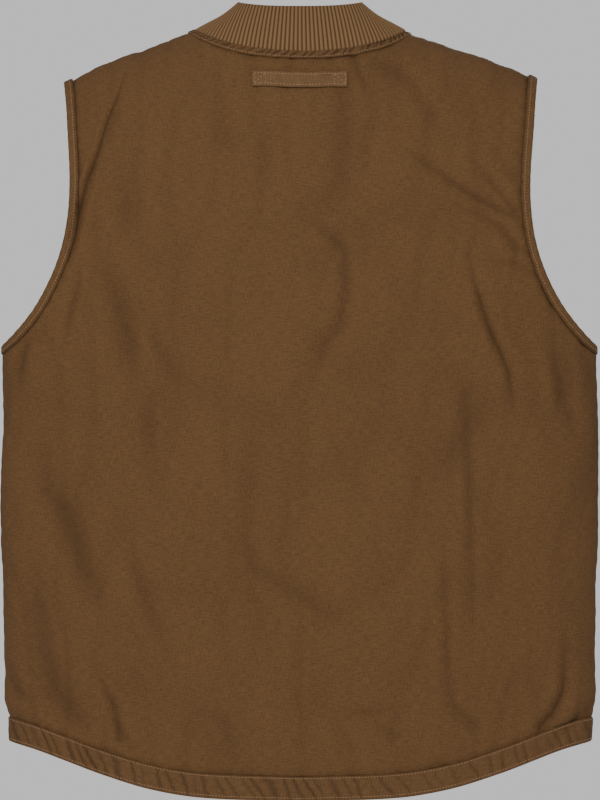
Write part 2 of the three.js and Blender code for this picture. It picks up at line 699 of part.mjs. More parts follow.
const group = new THREE.Group();
group.name = "utility_work_vest";
const back = backPanel();
const pieces = [
  ["back_panel", back, "duck"],
  ["front_panel_left", frontPanel(1), "duck"],
  ["front_panel_right", frontPanel(-1), "duck"],
  ["collar_rib", collar(), "rib"],
  ["neck_band", neckBand(), "trim"],
  ["armhole_binding_left", binding(1), "trim"],
  ["armhole_binding_right", binding(-1), "trim"],
  ["hem_back", hem(BACK, -QUARTER, QUARTER), "trim"],
  ["hem_front_left", hem(FRONT, seen(FRONT, ZIP_EDGE, -DROP).around, QUARTER), "trim"],
  ["hem_front_right", hem(FRONT, -QUARTER, -seen(FRONT, ZIP_EDGE, -DROP).around), "trim"],
  ["hanger_loop", hangerLoop(back), "loop"],
  ["front_zip", frontZip(), "zip"],
];
for (const [name, geometry, material] of pieces) {
  const mesh = new THREE.Mesh(geometry, new THREE.MeshStandardMaterial(MATERIALS[material]));
  mesh.name = name;
  group.add(mesh);
}

export default group;
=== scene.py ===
"""Dresses the frame of a cotton duck work vest as cloth, rib knit, thread and metal."""

import math
from collections import namedtuple

import bmesh
import bpy
import numpy as np
from bpy.props import FloatProperty, FloatVectorProperty, IntProperty, PointerProperty
from mathutils import Matrix, Vector, noise


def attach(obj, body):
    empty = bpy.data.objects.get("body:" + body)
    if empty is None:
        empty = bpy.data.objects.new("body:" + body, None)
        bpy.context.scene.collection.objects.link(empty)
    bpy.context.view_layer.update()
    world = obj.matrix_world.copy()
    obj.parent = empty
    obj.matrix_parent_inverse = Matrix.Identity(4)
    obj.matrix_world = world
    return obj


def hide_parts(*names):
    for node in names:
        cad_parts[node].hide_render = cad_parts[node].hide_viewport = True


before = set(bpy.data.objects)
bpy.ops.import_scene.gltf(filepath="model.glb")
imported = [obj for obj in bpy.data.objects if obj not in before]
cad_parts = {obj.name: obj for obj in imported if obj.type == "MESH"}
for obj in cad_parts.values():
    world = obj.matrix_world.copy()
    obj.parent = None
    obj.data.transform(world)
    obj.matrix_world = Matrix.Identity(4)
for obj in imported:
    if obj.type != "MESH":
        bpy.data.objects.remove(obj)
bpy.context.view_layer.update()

bl_info = {
    "name": "Utility Work Vest",
    "version": (1, 0, 0),
    "blender": (4, 5, 0),
    "location": "View3D > Sidebar > Vest",
    "description": "Dresses the frame of a work vest as cotton duck, rib knit, thread and metal",
    "category": "Object",
}

QUARTER = math.pi / 2
MILLIMETRE = 1e-3

# How finely curves are measured: the angle that gives a slope, and the points along a line.
STEP = 1e-3
SAMPLES = 400
SECTION_CORNER_POINTS = 9

# Points closer than this become one. A corner's radius is under half its section by the spare.
SAME_POINT = 1e-7
CORNER_SPARE = 1e-6

# How far the cloth laps over a side or shoulder seam, and how soon that fades, in metres.
SEAM_LAP = 0.0006
SEAM_FADE = 0.003

# The stitches' own size: wide, thick and long, with a gap from one to the next.
STITCH_SIZE = (0.0009, 0.00072, 0.0022)
STITCH_PITCH = 0.0032
STITCH_AHEAD = 0.2
ROW_ENDS = (0.002, 0.998)

# The pitch of the yarns and of the knitted loops, and how uneven the duck's tone is.
WARP_PITCH = 0.00085
WEFT_PITCH = 0.86 * WARP_PITCH
KNIT_PITCH = 0.0016
DUCK_CONTRAST = 2.7

# How wide and deep the body is at each level. Down is a share of the drop from the origin to the
# lowest edge, wide of half the chest, back and front of their own depths.
BodyLevel = namedtuple("BodyLevel", "down wide back front")
BODY_LEVELS = (
    BodyLevel(0.0, 0.99, 0.97, 0.93),
    BodyLevel(0.2, 0.99, 0.99, 0.96),
    BodyLevel(0.4, 0.99, 1.0, 1.0),
    BodyLevel(0.58, 1.0, 0.98, 1.0),
    BodyLevel(0.78, 0.992, 0.98, 0.97),
    BodyLevel(0.87, 0.987, 0.96, 0.94),
    BodyLevel(0.9, 0.974, 0.95, 0.87),
    BodyLevel(1.0, 0.974, 0.91, 0.87),
)

# The armhole's edge from the shoulder's tip to the underarm. Down is a share of its depth, out
# of the way from the tip to the side, and cut of how much further in the front is cut.
ArmholePoint = namedtuple("ArmholePoint", "down out cut")
ARMHOLE_EDGE = (
    ArmholePoint(0.0, 0.0, 0.0),
    ArmholePoint(0.15, -0.07, 0.45),
    ArmholePoint(0.38, -0.13, 1.0),
    ArmholePoint(0.55, -0.08, 1.0),
    ArmholePoint(0.69, 0.08, 0.85),
    ArmholePoint(0.81, 0.33, 0.6),
    ArmholePoint(0.9, 0.6, 0.35),
    ArmholePoint(0.97, 0.87, 0.12),
    ArmholePoint(1.0, 1.0, 0.0),
)

# The tail's lower edge: aside is a share of half the width, rise of the tail's drop.
TailPoint = namedtuple("TailPoint", "aside rise")
TAIL_EDGE = (
    TailPoint(0.0, 0.0),
    TailPoint(0.34, 0.06),
    TailPoint(0.51, 0.2),
    TailPoint(0.68, 0.46),
    TailPoint(0.8, 0.68),
    TailPoint(0.9, 0.86),
    TailPoint(1.0, 1.0),
)

# The folds of the cloth. Wide is how far each one reaches and deep how far it sinks, in
# millimetres, and lap is how much the cloth on the wearer's right stands over the groove. A
# point's aside is a share of half the chest, the wearer's left being positive, and its down of
# the whole drop. The points of a line are written as aside, down and deep.
Fold = namedtuple("Fold", "name wide lap points")
FoldPoint = namedtuple("FoldPoint", "aside down deep")


def fold_line(name, wide, lap, *points):
    """One fold, from its points as they are written in the tables."""
    return Fold(name, wide, lap, [FoldPoint(*point) for point in points])


BACK_FOLDS = (
    fold_line("shoulder crease", 6, 0.95,
        (0.574, 0.047, 0.2), (0.6, 0.081, 1.2), (0.644, 0.12, 2.6), (0.677, 0.163, 3.2),
        (0.711, 0.198, 3.4), (0.737, 0.235, 3.2), (0.757, 0.271, 2.4), (0.778, 0.305, 0.6)),
    fold_line("left blade upper", 13, 0,
        (0.604, 0.176, 0.3), (0.58, 0.237, 2.2), (0.57, 0.281, 0.4)),
    fold_line("left blade", 14, 0,
        (0.664, 0.294, 0.4), (0.634, 0.328, 2.0), (0.59, 0.37, 3.2), (0.574, 0.409, 3.4),
        (0.557, 0.461, 0.5)),
    fold_line("left blade inner", 9, 0,
        (0.49, 0.367, 0.3), (0.477, 0.41, 2.0), (0.426, 0.444, 1.8), (0.386, 0.463, 0.3)),
    fold_line("left blade lower", 9, 0,
        (0.503, 0.466, 0.4), (0.497, 0.523, 1.8), (0.487, 0.596, 0.3)),
    fold_line("left arm tuck", 5, 0.3,
        (0.727, 0.302, 0.2), (0.737, 0.333, 1.8), (0.768, 0.375, 1.6), (0.791, 0.419, 0.3)),
    fold_line("left underarm", 5, 0.3,
        (0.908, 0.398, 0.4), (0.928, 0.435, 2.2), (0.941, 0.479, 0.3)),
    fold_line("left flank", 13, 0,
        (0.861, 0.528, 0.3), (0.844, 0.599, 2.4), (0.788, 0.631, 3.4), (0.754, 0.67, 3.0),
        (0.717, 0.71, 2.2), (0.66, 0.749, 0.4)),
    fold_line("left flank edge", 14, 0,
        (0.875, 0.684, 0.4), (0.875, 0.747, 2.0), (0.848, 0.809, 2.4), (0.814, 0.861, 3.6),
        (0.734, 0.895, 2.0)),
    fold_line("left drop", 9, 0,
        (0.567, 0.679, 0.3), (0.527, 0.729, 1.6), (0.487, 0.764, 1.8), (0.433, 0.814, 0.3)),
    fold_line("left hem edge", 6, 0,
        (0.975, 0.83, 1.0), (0.948, 0.859, 2.2), (0.895, 0.872, 0.6)),
    fold_line("tail crease", 5, 0.4,
        (0.684, 0.814, 0.3), (0.644, 0.859, 1.8), (0.617, 0.879, 2.8), (0.6, 0.921, 2.6)),
    fold_line("tail crease short", 4, 0.2,
        (0.607, 0.9, 0.6), (0.56, 0.934, 1.6)),
    fold_line("nape left", 9, 0,
        (0.279, 0.042, 0.6), (0.263, 0.094, 1.4), (0.249, 0.146, 1.2), (0.206, 0.164, 0.2)),
    fold_line("nape middle", 8, 0,
        (0.119, 0.118, 0.2), (0.105, 0.17, 0.8), (0.092, 0.227, 0.2)),
    fold_line("spine upper", 13, 0,
        (-0.145, 0.076, 1.2), (-0.149, 0.144, 2.0), (-0.135, 0.198, 1.8), (-0.048, 0.242, 0.8)),
    fold_line("spine side", 8, 0,
        (-0.239, 0.066, 1.0), (-0.249, 0.107, 1.2), (-0.216, 0.157, 1.2), (-0.222, 0.19, 0.3)),
    fold_line("spine", 8, 0.2,
        (-0.022, 0.249, 0.4), (-0.092, 0.267, 1.9), (-0.145, 0.288, 2.3), (-0.152, 0.339, 2.2),
        (-0.135, 0.385, 2.0), (-0.075, 0.414, 1.6), (-0.045, 0.45, 0.7)),
    fold_line("spine lower", 6, 0,
        (-0.018, 0.461, 0.7), (-0.015, 0.534, 1.3), (-0.002, 0.612, 0.3)),
    fold_line("waist", 10, 0,
        (0.159, 0.521, 0.3), (0.176, 0.612, 1.6), (0.182, 0.666, 2.0), (0.152, 0.7, 1.8),
        (-0.008, 0.736, 1.4), (-0.169, 0.778, 0.3)),
    fold_line("nape pinch", 5, 0.3,
        (-0.182, 0.034, 1.8), (-0.196, 0.06, 2.6), (-0.222, 0.084, 0.4)),
    fold_line("nape right", 8, 0,
        (-0.229, 0.045, 1.0), (-0.329, 0.053, 1.6), (-0.383, 0.076, 1.5), (-0.43, 0.107, 1.5),
        (-0.51, 0.151, 0.3)),
    fold_line("right drag", 6, 0.3,
        (-0.349, 0.159, 0.4), (-0.43, 0.18, 1.7), (-0.51, 0.202, 2.2), (-0.597, 0.223, 2.3),
        (-0.677, 0.239, 2.2), (-0.737, 0.246, 0.6)),
    fold_line("right drag upper", 5, 0.2,
        (-0.564, 0.167, 0.3), (-0.637, 0.2, 1.5), (-0.717, 0.237, 1.6)),
    fold_line("right drag top", 5, 0,
        (-0.65, 0.157, 0.3), (-0.717, 0.193, 1.3)),
    fold_line("right drag lower", 6, 0.2,
        (-0.53, 0.232, 0.3), (-0.61, 0.245, 1.5), (-0.677, 0.262, 1.9), (-0.727, 0.287, 1.8),
        (-0.771, 0.294, 0.4)),
    fold_line("right pinch", 5, 0,
        (-0.65, 0.302, 0.6), (-0.724, 0.306, 1.5), (-0.791, 0.32, 0.9)),
    fold_line("right blade", 7, 0.6,
        (-0.56, 0.287, 0.4), (-0.577, 0.326, 1.3), (-0.604, 0.358, 2.6), (-0.63, 0.388, 3.2),
        (-0.664, 0.417, 3.2), (-0.697, 0.448, 2.2), (-0.707, 0.497, 0.3)),
    fold_line("right shade", 15, 0,
        (-0.527, 0.445, 0.3), (-0.577, 0.508, 1.8), (-0.493, 0.562, 1.4), (-0.436, 0.596, 0.2)),
    fold_line("right flank", 7, 0,
        (-0.831, 0.385, 0.3), (-0.858, 0.436, 2.0), (-0.881, 0.476, 2.2), (-0.918, 0.528, 0.4)),
    fold_line("right flank outer", 6, 0,
        (-0.888, 0.404, 0.2), (-0.905, 0.461, 1.4), (-0.898, 0.482, 0.3)),
    fold_line("right drop", 6, 0.2,
        (-0.55, 0.476, 0.8), (-0.564, 0.586, 2.0), (-0.57, 0.69, 1.6), (-0.577, 0.807, 0.4)),
    fold_line("right drop inner", 6, 0.2,
        (-0.477, 0.651, 0.3), (-0.483, 0.742, 1.5), (-0.493, 0.83, 1.6), (-0.503, 0.874, 1.5),
        (-0.584, 0.903, 0.5)),
    fold_line("tail middle", 5, 0,
        (0.002, 0.729, 0.3), (0.002, 0.859, 1.3), (-0.002, 0.924, 0.8)),
    fold_line("tail shelf", 6, 0,
        (-0.129, 0.888, 0.8), (-0.216, 0.885, 1.4), (-0.303, 0.882, 0.4)),
    fold_line("tail shelf low", 6, 0,
        (-0.229, 0.892, 0.6), (-0.316, 0.918, 1.4)),
    fold_line("tail tuck", 5, 0,
        (-0.142, 0.905, 0.8), (-0.176, 0.934, 1.4)),
    fold_line("tail tuck left", 7, 0,
        (0.306, 0.887, 0.6), (0.246, 0.9, 1.4), (0.229, 0.937, 0.8)),
    fold_line("tail tuck low", 5, 0,
        (-0.503, 0.885, 0.8), (-0.577, 0.9, 1.6), (-0.59, 0.924, 0.4)),
    fold_line("right hem", 7, 0.5,
        (-0.885, 0.781, 0.4), (-0.881, 0.859, 2.4), (-0.848, 0.888, 3.2), (-0.804, 0.905, 2.2)),
    fold_line("right hem edge", 6, 0,
        (-0.978, 0.874, 1.2), (-0.925, 0.9, 1.8), (-0.864, 0.916, 1.0)),
)
FRONT_FOLDS = (
    fold_line("left arm", 13, 0,
        (0.74, 0.3, 0.6), (0.6, 0.42, 2.6), (0.5, 0.52, 0.4)),
    fold_line("right arm", 13, 0,
        (-0.74, 0.3, 0.6), (-0.62, 0.4, 2.6), (-0.5, 0.5, 0.4)),
    fold_line("left chest", 13, 0,
        (0.36, 0.3, 0.4), (0.33, 0.46, 1.8), (0.32, 0.62, 0.4)),
    fold_line("right chest", 13, 0,
        (-0.34, 0.36, 0.4), (-0.31, 0.52, 1.8), (-0.3, 0.7, 0.4)),
    fold_line("left waist", 11, 0.2,
        (0.6, 0.62, 0.5), (0.62, 0.76, 2.4), (0.64, 0.88, 1.4)),
    fold_line("right waist", 11, 0.2,
        (-0.62, 0.6, 0.5), (-0.61, 0.75, 2.4), (-0.6, 0.88, 1.4)),
    fold_line("left pinch", 6, 0.4,
        (0.8, 0.27, 0.6), (0.68, 0.31, 1.8), (0.55, 0.33, 0.3)),
    fold_line("right pinch", 6, 0.4,
        (-0.8, 0.28, 0.6), (-0.69, 0.32, 1.8), (-0.57, 0.35, 0.3)),
    fold_line("left flank", 12, 0,
        (0.9, 0.52, 0.4), (0.82, 0.62, 2.4), (0.78, 0.74, 0.6)),
    fold_line("right flank", 12, 0,
        (-0.9, 0.5, 0.4), (-0.83, 0.61, 2.4), (-0.77, 0.72, 0.6)),
)

# Slow swells of the cloth: high in millimetres, across and down are wave lengths in metres, and
# turn is where the wave starts, in radians.
Swell = namedtuple("Swell", "high across down turn")
SWELLS = (
    Swell(0.9, 0.31, 0.43, 0.6),
    Swell(0.7, -0.19, 0.36, 2.1),
    Swell(0.5, 0.13, -0.24, 4.0),
    Swell(0.3, -0.083, 0.17, 5.2),
)

# Small wrinkles: high, and the length of their pattern across and down, in metres. They run
# where the pattern is near 0, within the edge.
Crumple = namedtuple("Crumple", "high across down")
CRUMPLES = (
    Crumple(0.0012, 0.05, 0.19),
    Crumple(0.0006, 0.026, 0.10),
)
CRUMPLE_EDGE = 0.1

# Small waves of the cloth beside its seams: high, and how far from the seam they fade, in metres.
Ripple = namedtuple("Ripple", "high fade")
HEM_RIPPLE = Ripple(0.0008, 0.02)
SIDE_RIPPLE = Ripple(0.00045, 0.009)
NECK_RIPPLE = Ripple(0.0004, 0.008)

Wave = namedtuple("Wave", "rate turn")
SliderPart = namedtuple("SliderPart", "size place edge")
Face = namedtuple("Face", "sign depth roll column folds")


def length_setting(name, description, default, low, high):
    """A length that a user can change, in metres."""
    return FloatProperty(
        name=name, description=description, default=default, min=low, max=high,
        subtype="DISTANCE", unit="LENGTH")


def colour_setting(name, description, default):
    """A colour that a user can change."""
    return FloatVectorProperty(
        name=name, description=description, default=default, min=0.0, max=1.0, size=3,
        subtype="COLOR")


class VestSizes(bpy.types.PropertyGroup):
    """Lengths of the vest that are shared by its pieces."""

    chest_width: length_setting("Chest width", "Widest distance across the body", 0.61, 0.3, 1.0)
    back_depth: length_setting(
        "Back depth", "How far the back stands behind the side seams", 0.072, 0.02, 0.2)
    front_depth: length_setting(
        "Front depth", "How far the front stands before the side seams", 0.08, 0.02, 0.2)
    back_length: length_setting(
        "Back length", "From the collar seam to the tail at the middle", 0.762, 0.4, 1.2)
    tail_drop: length_setting(
        "Tail drop", "How far the tail hangs below the side seams", 0.059, 0.0, 0.2)
    shoulder_width: length_setting(
        "Shoulder width", "Between the tips of the shoulders", 0.484, 0.3, 0.7)
    neck_width: length_setting(
        "Neck width", "Across the collar seam at the shoulders", 0.212, 0.12, 0.3)
    back_neck_drop: length_setting(
        "Back neck drop", "How far the collar seam dips at the back", 0.0227, 0.0, 0.1)
    front_neck_drop: length_setting(
        "Front neck drop", "How far the collar seam dips at the front", 0.084, 0.0, 0.2)
    armhole_depth: length_setting(
        "Armhole depth", "From the shoulder's tip to the underarm", 0.27, 0.1, 0.4)
    cloth_wall: length_setting(
        "Cloth thickness", "Thickness of the body's cloth", 0.0028, 0.001, 0.006)
    hem_height: length_setting("Hem height", "Height of the hem band", 0.025, 0.01, 0.06)
    binding_width: length_setting(
        "Binding width", "Width of the strip round each armhole", 0.01, 0.004, 0.03)
    neck_band_width: length_setting(
        "Neck band width", "Width of the strip under the collar", 0.0094, 0.004, 0.03)
    fold_strength: FloatProperty(
        name="Fold strength", description="How deep the folds of the cloth are",
        default=1.4, min=0.0, max=3.0)


class CollarSizes(bpy.types.PropertyGroup):
    """Lengths of the rib-knit collar."""

    top_width: length_setting("Top width", "Across the collar's upper edge", 0.124, 0.06, 0.3)
    rib_pitch: length_setting(
        "Rib pitch", "From one rib to the next at the collar seam", 0.0045, 0.002, 0.01)
    rib_depth: length_setting(
        "Rib depth", "How deep the grooves between the ribs are", 0.0013, 0.0, 0.004)
    wall: length_setting("Wall", "Thickness of the folded rib knit", 0.004, 0.002, 0.008)
    points_per_rib: IntProperty(
        name="Points per rib", description="How finely each rib is divided",
        default=8, min=4, max=12)


class VestColours(bpy.types.PropertyGroup):
    """Colours of the cloth, the knit, the thread and the metal."""

    duck: colour_setting("Cotton duck", "Colour of the body's cloth", (0.0825, 0.0416, 0.0159))
    trim: colour_setting("Trim", "Colour of the hem and the bindings", (0.0815, 0.0422, 0.0171))
    rib: colour_setting("Rib knit", "Colour of the collar", (0.1395, 0.0778, 0.0347))
    loop: colour_setting(
        "Hanger loop", "Colour of the hanger loop's webbing", (0.0935, 0.0508, 0.0230))
    thread: colour_setting("Thread", "Colour of the stitches", (0.170, 0.099, 0.048))
    metal: colour_setting("Zip metal", "Colour of the zip's teeth and slider", (0.2, 0.125, 0.06))
    floor: colour_setting("Floor", "Colour of the studio floor", (0.8, 0.8, 0.79))


class StageSizes(bpy.types.PropertyGroup):
    """Places of the camera and the floor."""

    camera_distance: length_setting(
        "Camera distance", "From the camera to the middle of the vest", 9.066, 1.0, 20.0)
    camera_height: length_setting(
        "Camera height", "Height of the camera against the origin", -0.378, -2.0, 2.0)
    camera_aside: length_setting(
        "Camera aside", "How far the camera stands to the wearer's left", -0.0001, -1.0, 1.0)
    lens: FloatProperty(
        name="Lens", description="Focal length of the camera",
        default=400.0, min=20.0, max=600.0, subtype="DISTANCE_CAMERA")
    floor_height: length_setting(
        "Floor height", "Height of the floor against the origin", -1.45, -3.0, -0.8)


def table_column(rows, name):
    """One named column of a table of rows."""
    return np.array([getattr(row, name) for row in rows], dtype=float)


def from_table(rows, key, column, at):
    """A smooth value from a table, by a cubic step between the rows on each side."""
    keys = table_column(rows, key)
    values = table_column(rows, column)
    low = np.searchsorted(keys[1:-1], at)
    high = low + 1
    before = np.maximum(low - 1, 0)
    after = np.minimum(low + 2, len(rows) - 1)
    span = keys[high] - keys[low]
    slope_low = (values[high] - values[before]) / (keys[high] - keys[before])
    slope_high = (values[after] - values[low]) / (keys[after] - keys[low])
    t = np.clip((at - keys[low]) / span, 0, 1)
    ends = (2 * t**3 - 3 * t**2 + 1) * values[low] + (3 * t**2 - 2 * t**3) * values[high]
    return ends + span * ((t**3 - 2 * t**2 + t) * slope_low + (t**3 - t**2) * slope_high)


def unit(vectors):
    return vectors / np.linalg.norm(vectors, axis=-1, keepdims=True)


def smooth_step(value):
    """A smooth rise from 0 to 1."""
    t = np.clip(value, 0, 1)
    return t * t * (3 - 2 * t)


def line_lengths(points):
    """How far along a line each of its points lies."""
    steps = np.linalg.norm(np.diff(points, axis=0), axis=1)
    return np.concatenate([[0.0], np.cumsum(steps)])


def spread(points, shares):
    """How far along a line of points, counted in points, stand the shares of its length."""
    lengths = line_lengths(points)
    return np.interp(np.asarray(shares) * lengths[-1], lengths, np.arange(len(points)))


def point_at(points, number):
    """A point between the points of a line, by its place counted in points."""
    low = np.minimum(np.floor(number).astype(int), len(points) - 2)
    part = (number - low)[..., None]
    return points[low] * (1 - part) + points[low + 1] * part


def wobble(at, seed):
    """A smooth uneven number between -1 and 1 along a line."""
    waves = (Wave(1.0, 0.9), Wave(2.31, 1.9), Wave(4.17, 3.1), Wave(0.43, 4.4))
    return sum(np.sin(at * wave.rate + seed * wave.turn) for wave in waves) / len(waves)


def crumple(x, z, seed):
    """How deep the small upright wrinkles are at each place of the cloth, in metres."""
    deep = np.zeros(np.shape(x))
    for high, across, down in CRUMPLES:
        spots = zip((x / across).ravel(), (z / down).ravel())
        waves = [noise.noise((u, v, seed)) for u, v in spots]
        deep += high * np.exp(-((np.array(waves).reshape(np.shape(x)) / CRUMPLE_EDGE) ** 2))
    return deep


def lapped(face, points):
    """Carries a panel's points a little over the side seams and the shoulder seams."""
    out = np.maximum(face.sign * points[..., 1], 0)
    points[..., 1] = face.sign * (out - SEAM_LAP * np.exp(-((out / SEAM_FADE) ** 2)))
    return points


class Body:
    """The surface that the cloth lies on. Around runs from the middle of a face, at 0, to the
    side seam, at a quarter turn, and over from the shoulder line, at 0, down that face."""

    SECTION_POWER = 2.3
    SHOULDER_SLOPE = 0.41
    SHOULDER_EASE = 0.06
    NECK_POWER = 2.6
    FRONT_CUT = 0.017
    ZIP_EDGE = 0.0069
    BACK_ROLL = 0.13
    FRONT_ROLL = 0.185
    GIRTH_OVER = 3.5

    # A fold's reach is 1 at its own width. Its rolled edges are a share of its depth high, a lap
    # is steeper and its painted shade darker, and pull and painted shade are full from a depth on.
    LAP_STEEPER = 0.6
    ROLL_HEIGHT = 0.3
    ROLL_REACH = 2.1
    LAP_PULL = 0.75
    FULL_PULL = 0.002
    LAP_SHADE = 1.5
    SHADE_NARROWER = 1.25
    FULL_SHADE = 0.003

    def __init__(self, sizes):
        self.sizes = sizes
        self.drop = sizes.back_neck_drop + sizes.back_length
        self.half_chest = sizes.chest_width / 2
        self.back = Face(1, sizes.back_depth, self.BACK_ROLL, "back", BACK_FOLDS)
        self.front = Face(-1, sizes.front_depth, self.FRONT_ROLL, "front", FRONT_FOLDS)
        self.turns = np.linspace(0, QUARTER, SAMPLES)
        rim = self.bare(self.back, self.turns, np.full(SAMPLES, self.GIRTH_OVER))
        self.girths = line_lengths(rim)

    def level(self, z, column):
        return from_table(BODY_LEVELS, "down", column, np.clip(-z / self.drop, 0, 1))

    def half_width(self, z):
        return self.half_chest * self.level(z, "wide")

    def ridge(self, x):
        """Height of the shoulder line above a place aside, 0 where it meets the collar."""
        at_neck = math.hypot(self.sizes.neck_width / 2, self.SHOULDER_EASE)
        return self.SHOULDER_SLOPE * (at_neck - np.hypot(x, self.SHOULDER_EASE))

    def bare(self, face, around, over):
        """The point of the smooth body at two angles, without folds."""
        sine, cosine = np.sin(around), np.cos(around)
        aside = np.sign(sine) * np.abs(sine) ** (2 / self.SECTION_POWER)
        inward = np.sign(cosine) * np.abs(cosine) ** (2 / self.SECTION_POWER)
        top = self.half_width(0.0) * aside
        down = np.where(over < QUARTER, 1 - np.cos(over), 1 + over - QUARTER)
        z = self.ridge(top) - face.roll * down
        deep = face.depth * self.level(z, face.column) * np.sin(np.minimum(over, QUARTER))
        return np.stack([self.half_width(z) * aside, face.sign * deep * inward, z], axis=-1)

    def seen(self, face, x, z):
        """The angles of the point of a face that is seen at x and z."""
        x, z = np.broadcast_arrays(np.asarray(x, dtype=float), np.asarray(z, dtype=float))
        share = np.minimum(np.abs(x) / self.half_width(z), 1)
        around = np.sign(x) * np.arcsin(share ** (self.SECTION_POWER / 2))
        top = self.half_width(0.0) * x / self.half_width(z)
        down = np.maximum(self.ridge(top) - z, 0) / face.roll
        over = np.where(down < 1, np.arccos(1 - np.minimum(down, 1)), down - 1 + QUARTER)
        return around, over

    def tangents(self, face, around, over):
        """How the body's point moves with each of its two angles."""
        ahead = self.bare(face, around + STEP, over) - self.bare(face, around - STEP, over)
        below = self.bare(face, around, over + STEP) - self.bare(face, around, over - STEP)
        return ahead / (2 * STEP), below / (2 * STEP)

    def normal(self, face, around, over):
        """The way out of the body."""
        ahead, below = self.tangents(face, around, over)
        return unit(face.sign * np.cross(ahead, below))

    def folds(self, face, x, z):
        """How far the folds and swells move the cloth out, how far they draw it aside and up, in
        metres, and how dark the shade painted into the cloth's colour along the folds is."""
        moved = np.zeros((4, *np.shape(x)))
        for fold in face.folds:
            moved += self.one_fold(fold, x, z)
        for swell in SWELLS:
            phase = x / swell.across + z / swell.down
            moved[0] += MILLIMETRE * swell.high * np.sin(2 * math.pi * phase + swell.turn)
        moved[0] *= self.sizes.fold_strength
        return moved

    def one_fold(self, fold, x, z):
        """A groove along a line, with a rolled edge on both sides. A lapped one is steeper on the
        wearer's right, and draws the cloth together."""
        nearest = np.full(np.shape(x), np.inf)
        moved = np.zeros((4, *np.shape(x)))
        for first, last in zip(fold.points, fold.points[1:]):
            start = np.array([first.aside * self.half_chest, -first.down * self.drop])
            way = np.array([last.aside * self.half_chest, -last.down * self.drop]) - start
            from_x, from_z = x - start[0], z - start[1]
            share = np.clip((from_x * way[0] + from_z * way[1]) / (way @ way), 0, 1)
            off_x, off_z = from_x - share * way[0], from_z - share * way[1]
            away = np.hypot(off_x, off_z)
            right = from_x * way[1] > from_z * way[0]
            lapped_wide = fold.wide * np.where(right, 1, 1 - self.LAP_STEEPER * fold.lap)
            reach = away / (MILLIMETRE * lapped_wide)
            deep = MILLIMETRE * (first.deep + share * (last.deep - first.deep))
            trough = np.exp(-(reach**2))
            groove = trough - self.ROLL_HEIGHT * np.exp(-((reach - self.ROLL_REACH) ** 2))
            drawn = -self.LAP_PULL * fold.lap * trough * np.minimum(deep / self.FULL_PULL, 1)
            # Painted shade along the groove, narrower and darker for a lap.
            dark = np.exp(-(((self.SHADE_NARROWER + fold.lap) * reach) ** 2))
            dark = (1 + self.LAP_SHADE * fold.lap) * dark * np.minimum(deep / self.FULL_SHADE, 1)
            here = np.stack([-deep * groove, off_x * drawn, off_z * drawn, dark])
            moved = np.where(away < nearest, here, moved)
            nearest = np.minimum(away, nearest)
        return moved

    def slide(self, face, around, over, aside, up):
        """A place moved along the cloth by a way aside and a way up."""
        ahead, below = self.tangents(face, around, over)
        still = (aside == 0) & (up == 0)
        base = np.where(still, 1, ahead[..., 0] * below[..., 2] - ahead[..., 2] * below[..., 0])
        turn = (aside * below[..., 2] - up * below[..., 0]) / base
        fall = (up * ahead[..., 0] - aside * ahead[..., 2]) / base
        return around + turn, over + fall

    def cloth(self, face, around, over, lift=0.0):
        """The cloth's point at a place of a face, lifted out from the body's surface."""
        point = self.bare(face, around, over)
        out = lift + self.folds(face, point[..., 0], point[..., 2])[0]
        return point + out[..., None] * self.normal(face, around, over)

    def thread_place(self, face, around, over):
        """Where a place lies on the flat cloth, in metres across and down."""
        across = np.sign(around) * np.interp(np.abs(around), self.turns, self.girths)
        steps = np.linspace(0, QUARTER, SAMPLES)
        speed = np.hypot(face.roll * np.sin(steps), face.depth * np.cos(steps))
        length = np.concatenate([[0], np.cumsum((speed[1:] + speed[:-1]) / 2 * steps[1])])
        rolled = np.interp(np.minimum(over, QUARTER), steps, length)
        down = rolled + face.roll * np.maximum(over - QUARTER, 0)
        aside = np.abs(np.sin(around)) ** (2 / self.SECTION_POWER)
        return np.stack([across, self.ridge(self.half_chest * aside) - down], axis=-1)

    def beside(self, face, path, t, distance):
        """A place beside a path, the given way along the cloth to the path's right as it is seen
        from outside."""
        around, over = path(t)
        ahead, below = self.tangents(face, around, over)
        out = face.sign * np.cross(ahead, below)
        way = self.bare(face, *path(t + STEP)) - self.bare(face, *path(t - STEP))
        right = unit(np.cross(way, out)) * np.asarray(distance)[..., None]
        dots = [(a * b).sum(axis=-1) for a, b in ((ahead, ahead), (below, below), (ahead, below))]
        to_ahead, to_below = (right * ahead).sum(axis=-1), (right * below).sum(axis=-1)
        base = dots[0] * dots[1] - dots[2] ** 2
        turn = around + (to_ahead * dots[1] - to_below * dots[2]) / base
        fall = over + (to_below * dots[0] - to_ahead * dots[2]) / base
        return np.clip(turn, -QUARTER, QUARTER), np.maximum(fall, 0)

    def even(self, face, path, count):
        """Where a path is divided so that all its parts are equally long."""
        points = self.bare(face, *path(np.linspace(0, 1, SAMPLES)))
        return spread(points, np.linspace(0, 1, count + 1)) / (SAMPLES - 1)

    def armhole_edge(self, face, side):
        """One side of a face's armhole, from the shoulder's tip to the underarm, as a smooth curve
        through the table's points."""
        tip = self.sizes.shoulder_width / 2
        down, out, cut = (table_column(ARMHOLE_EDGE, name) for name in ("down", "out", "cut"))
        z = self.ridge(tip) - down * self.sizes.armhole_depth
        further = cut * self.FRONT_CUT if face.sign < 0 else 0
        around, over = self.seen(face, tip + (self.half_width(z) - tip) * out - further, z)
        over[0] = 0
        places = np.stack([around, over], axis=-1)
        above = [places[1, 0], -places[1, 1]]
        beyond = [2 * QUARTER - places[-2, 0], places[-2, 1]]
        knots = np.vstack([above, places, beyond])
        spans = len(places) - 1

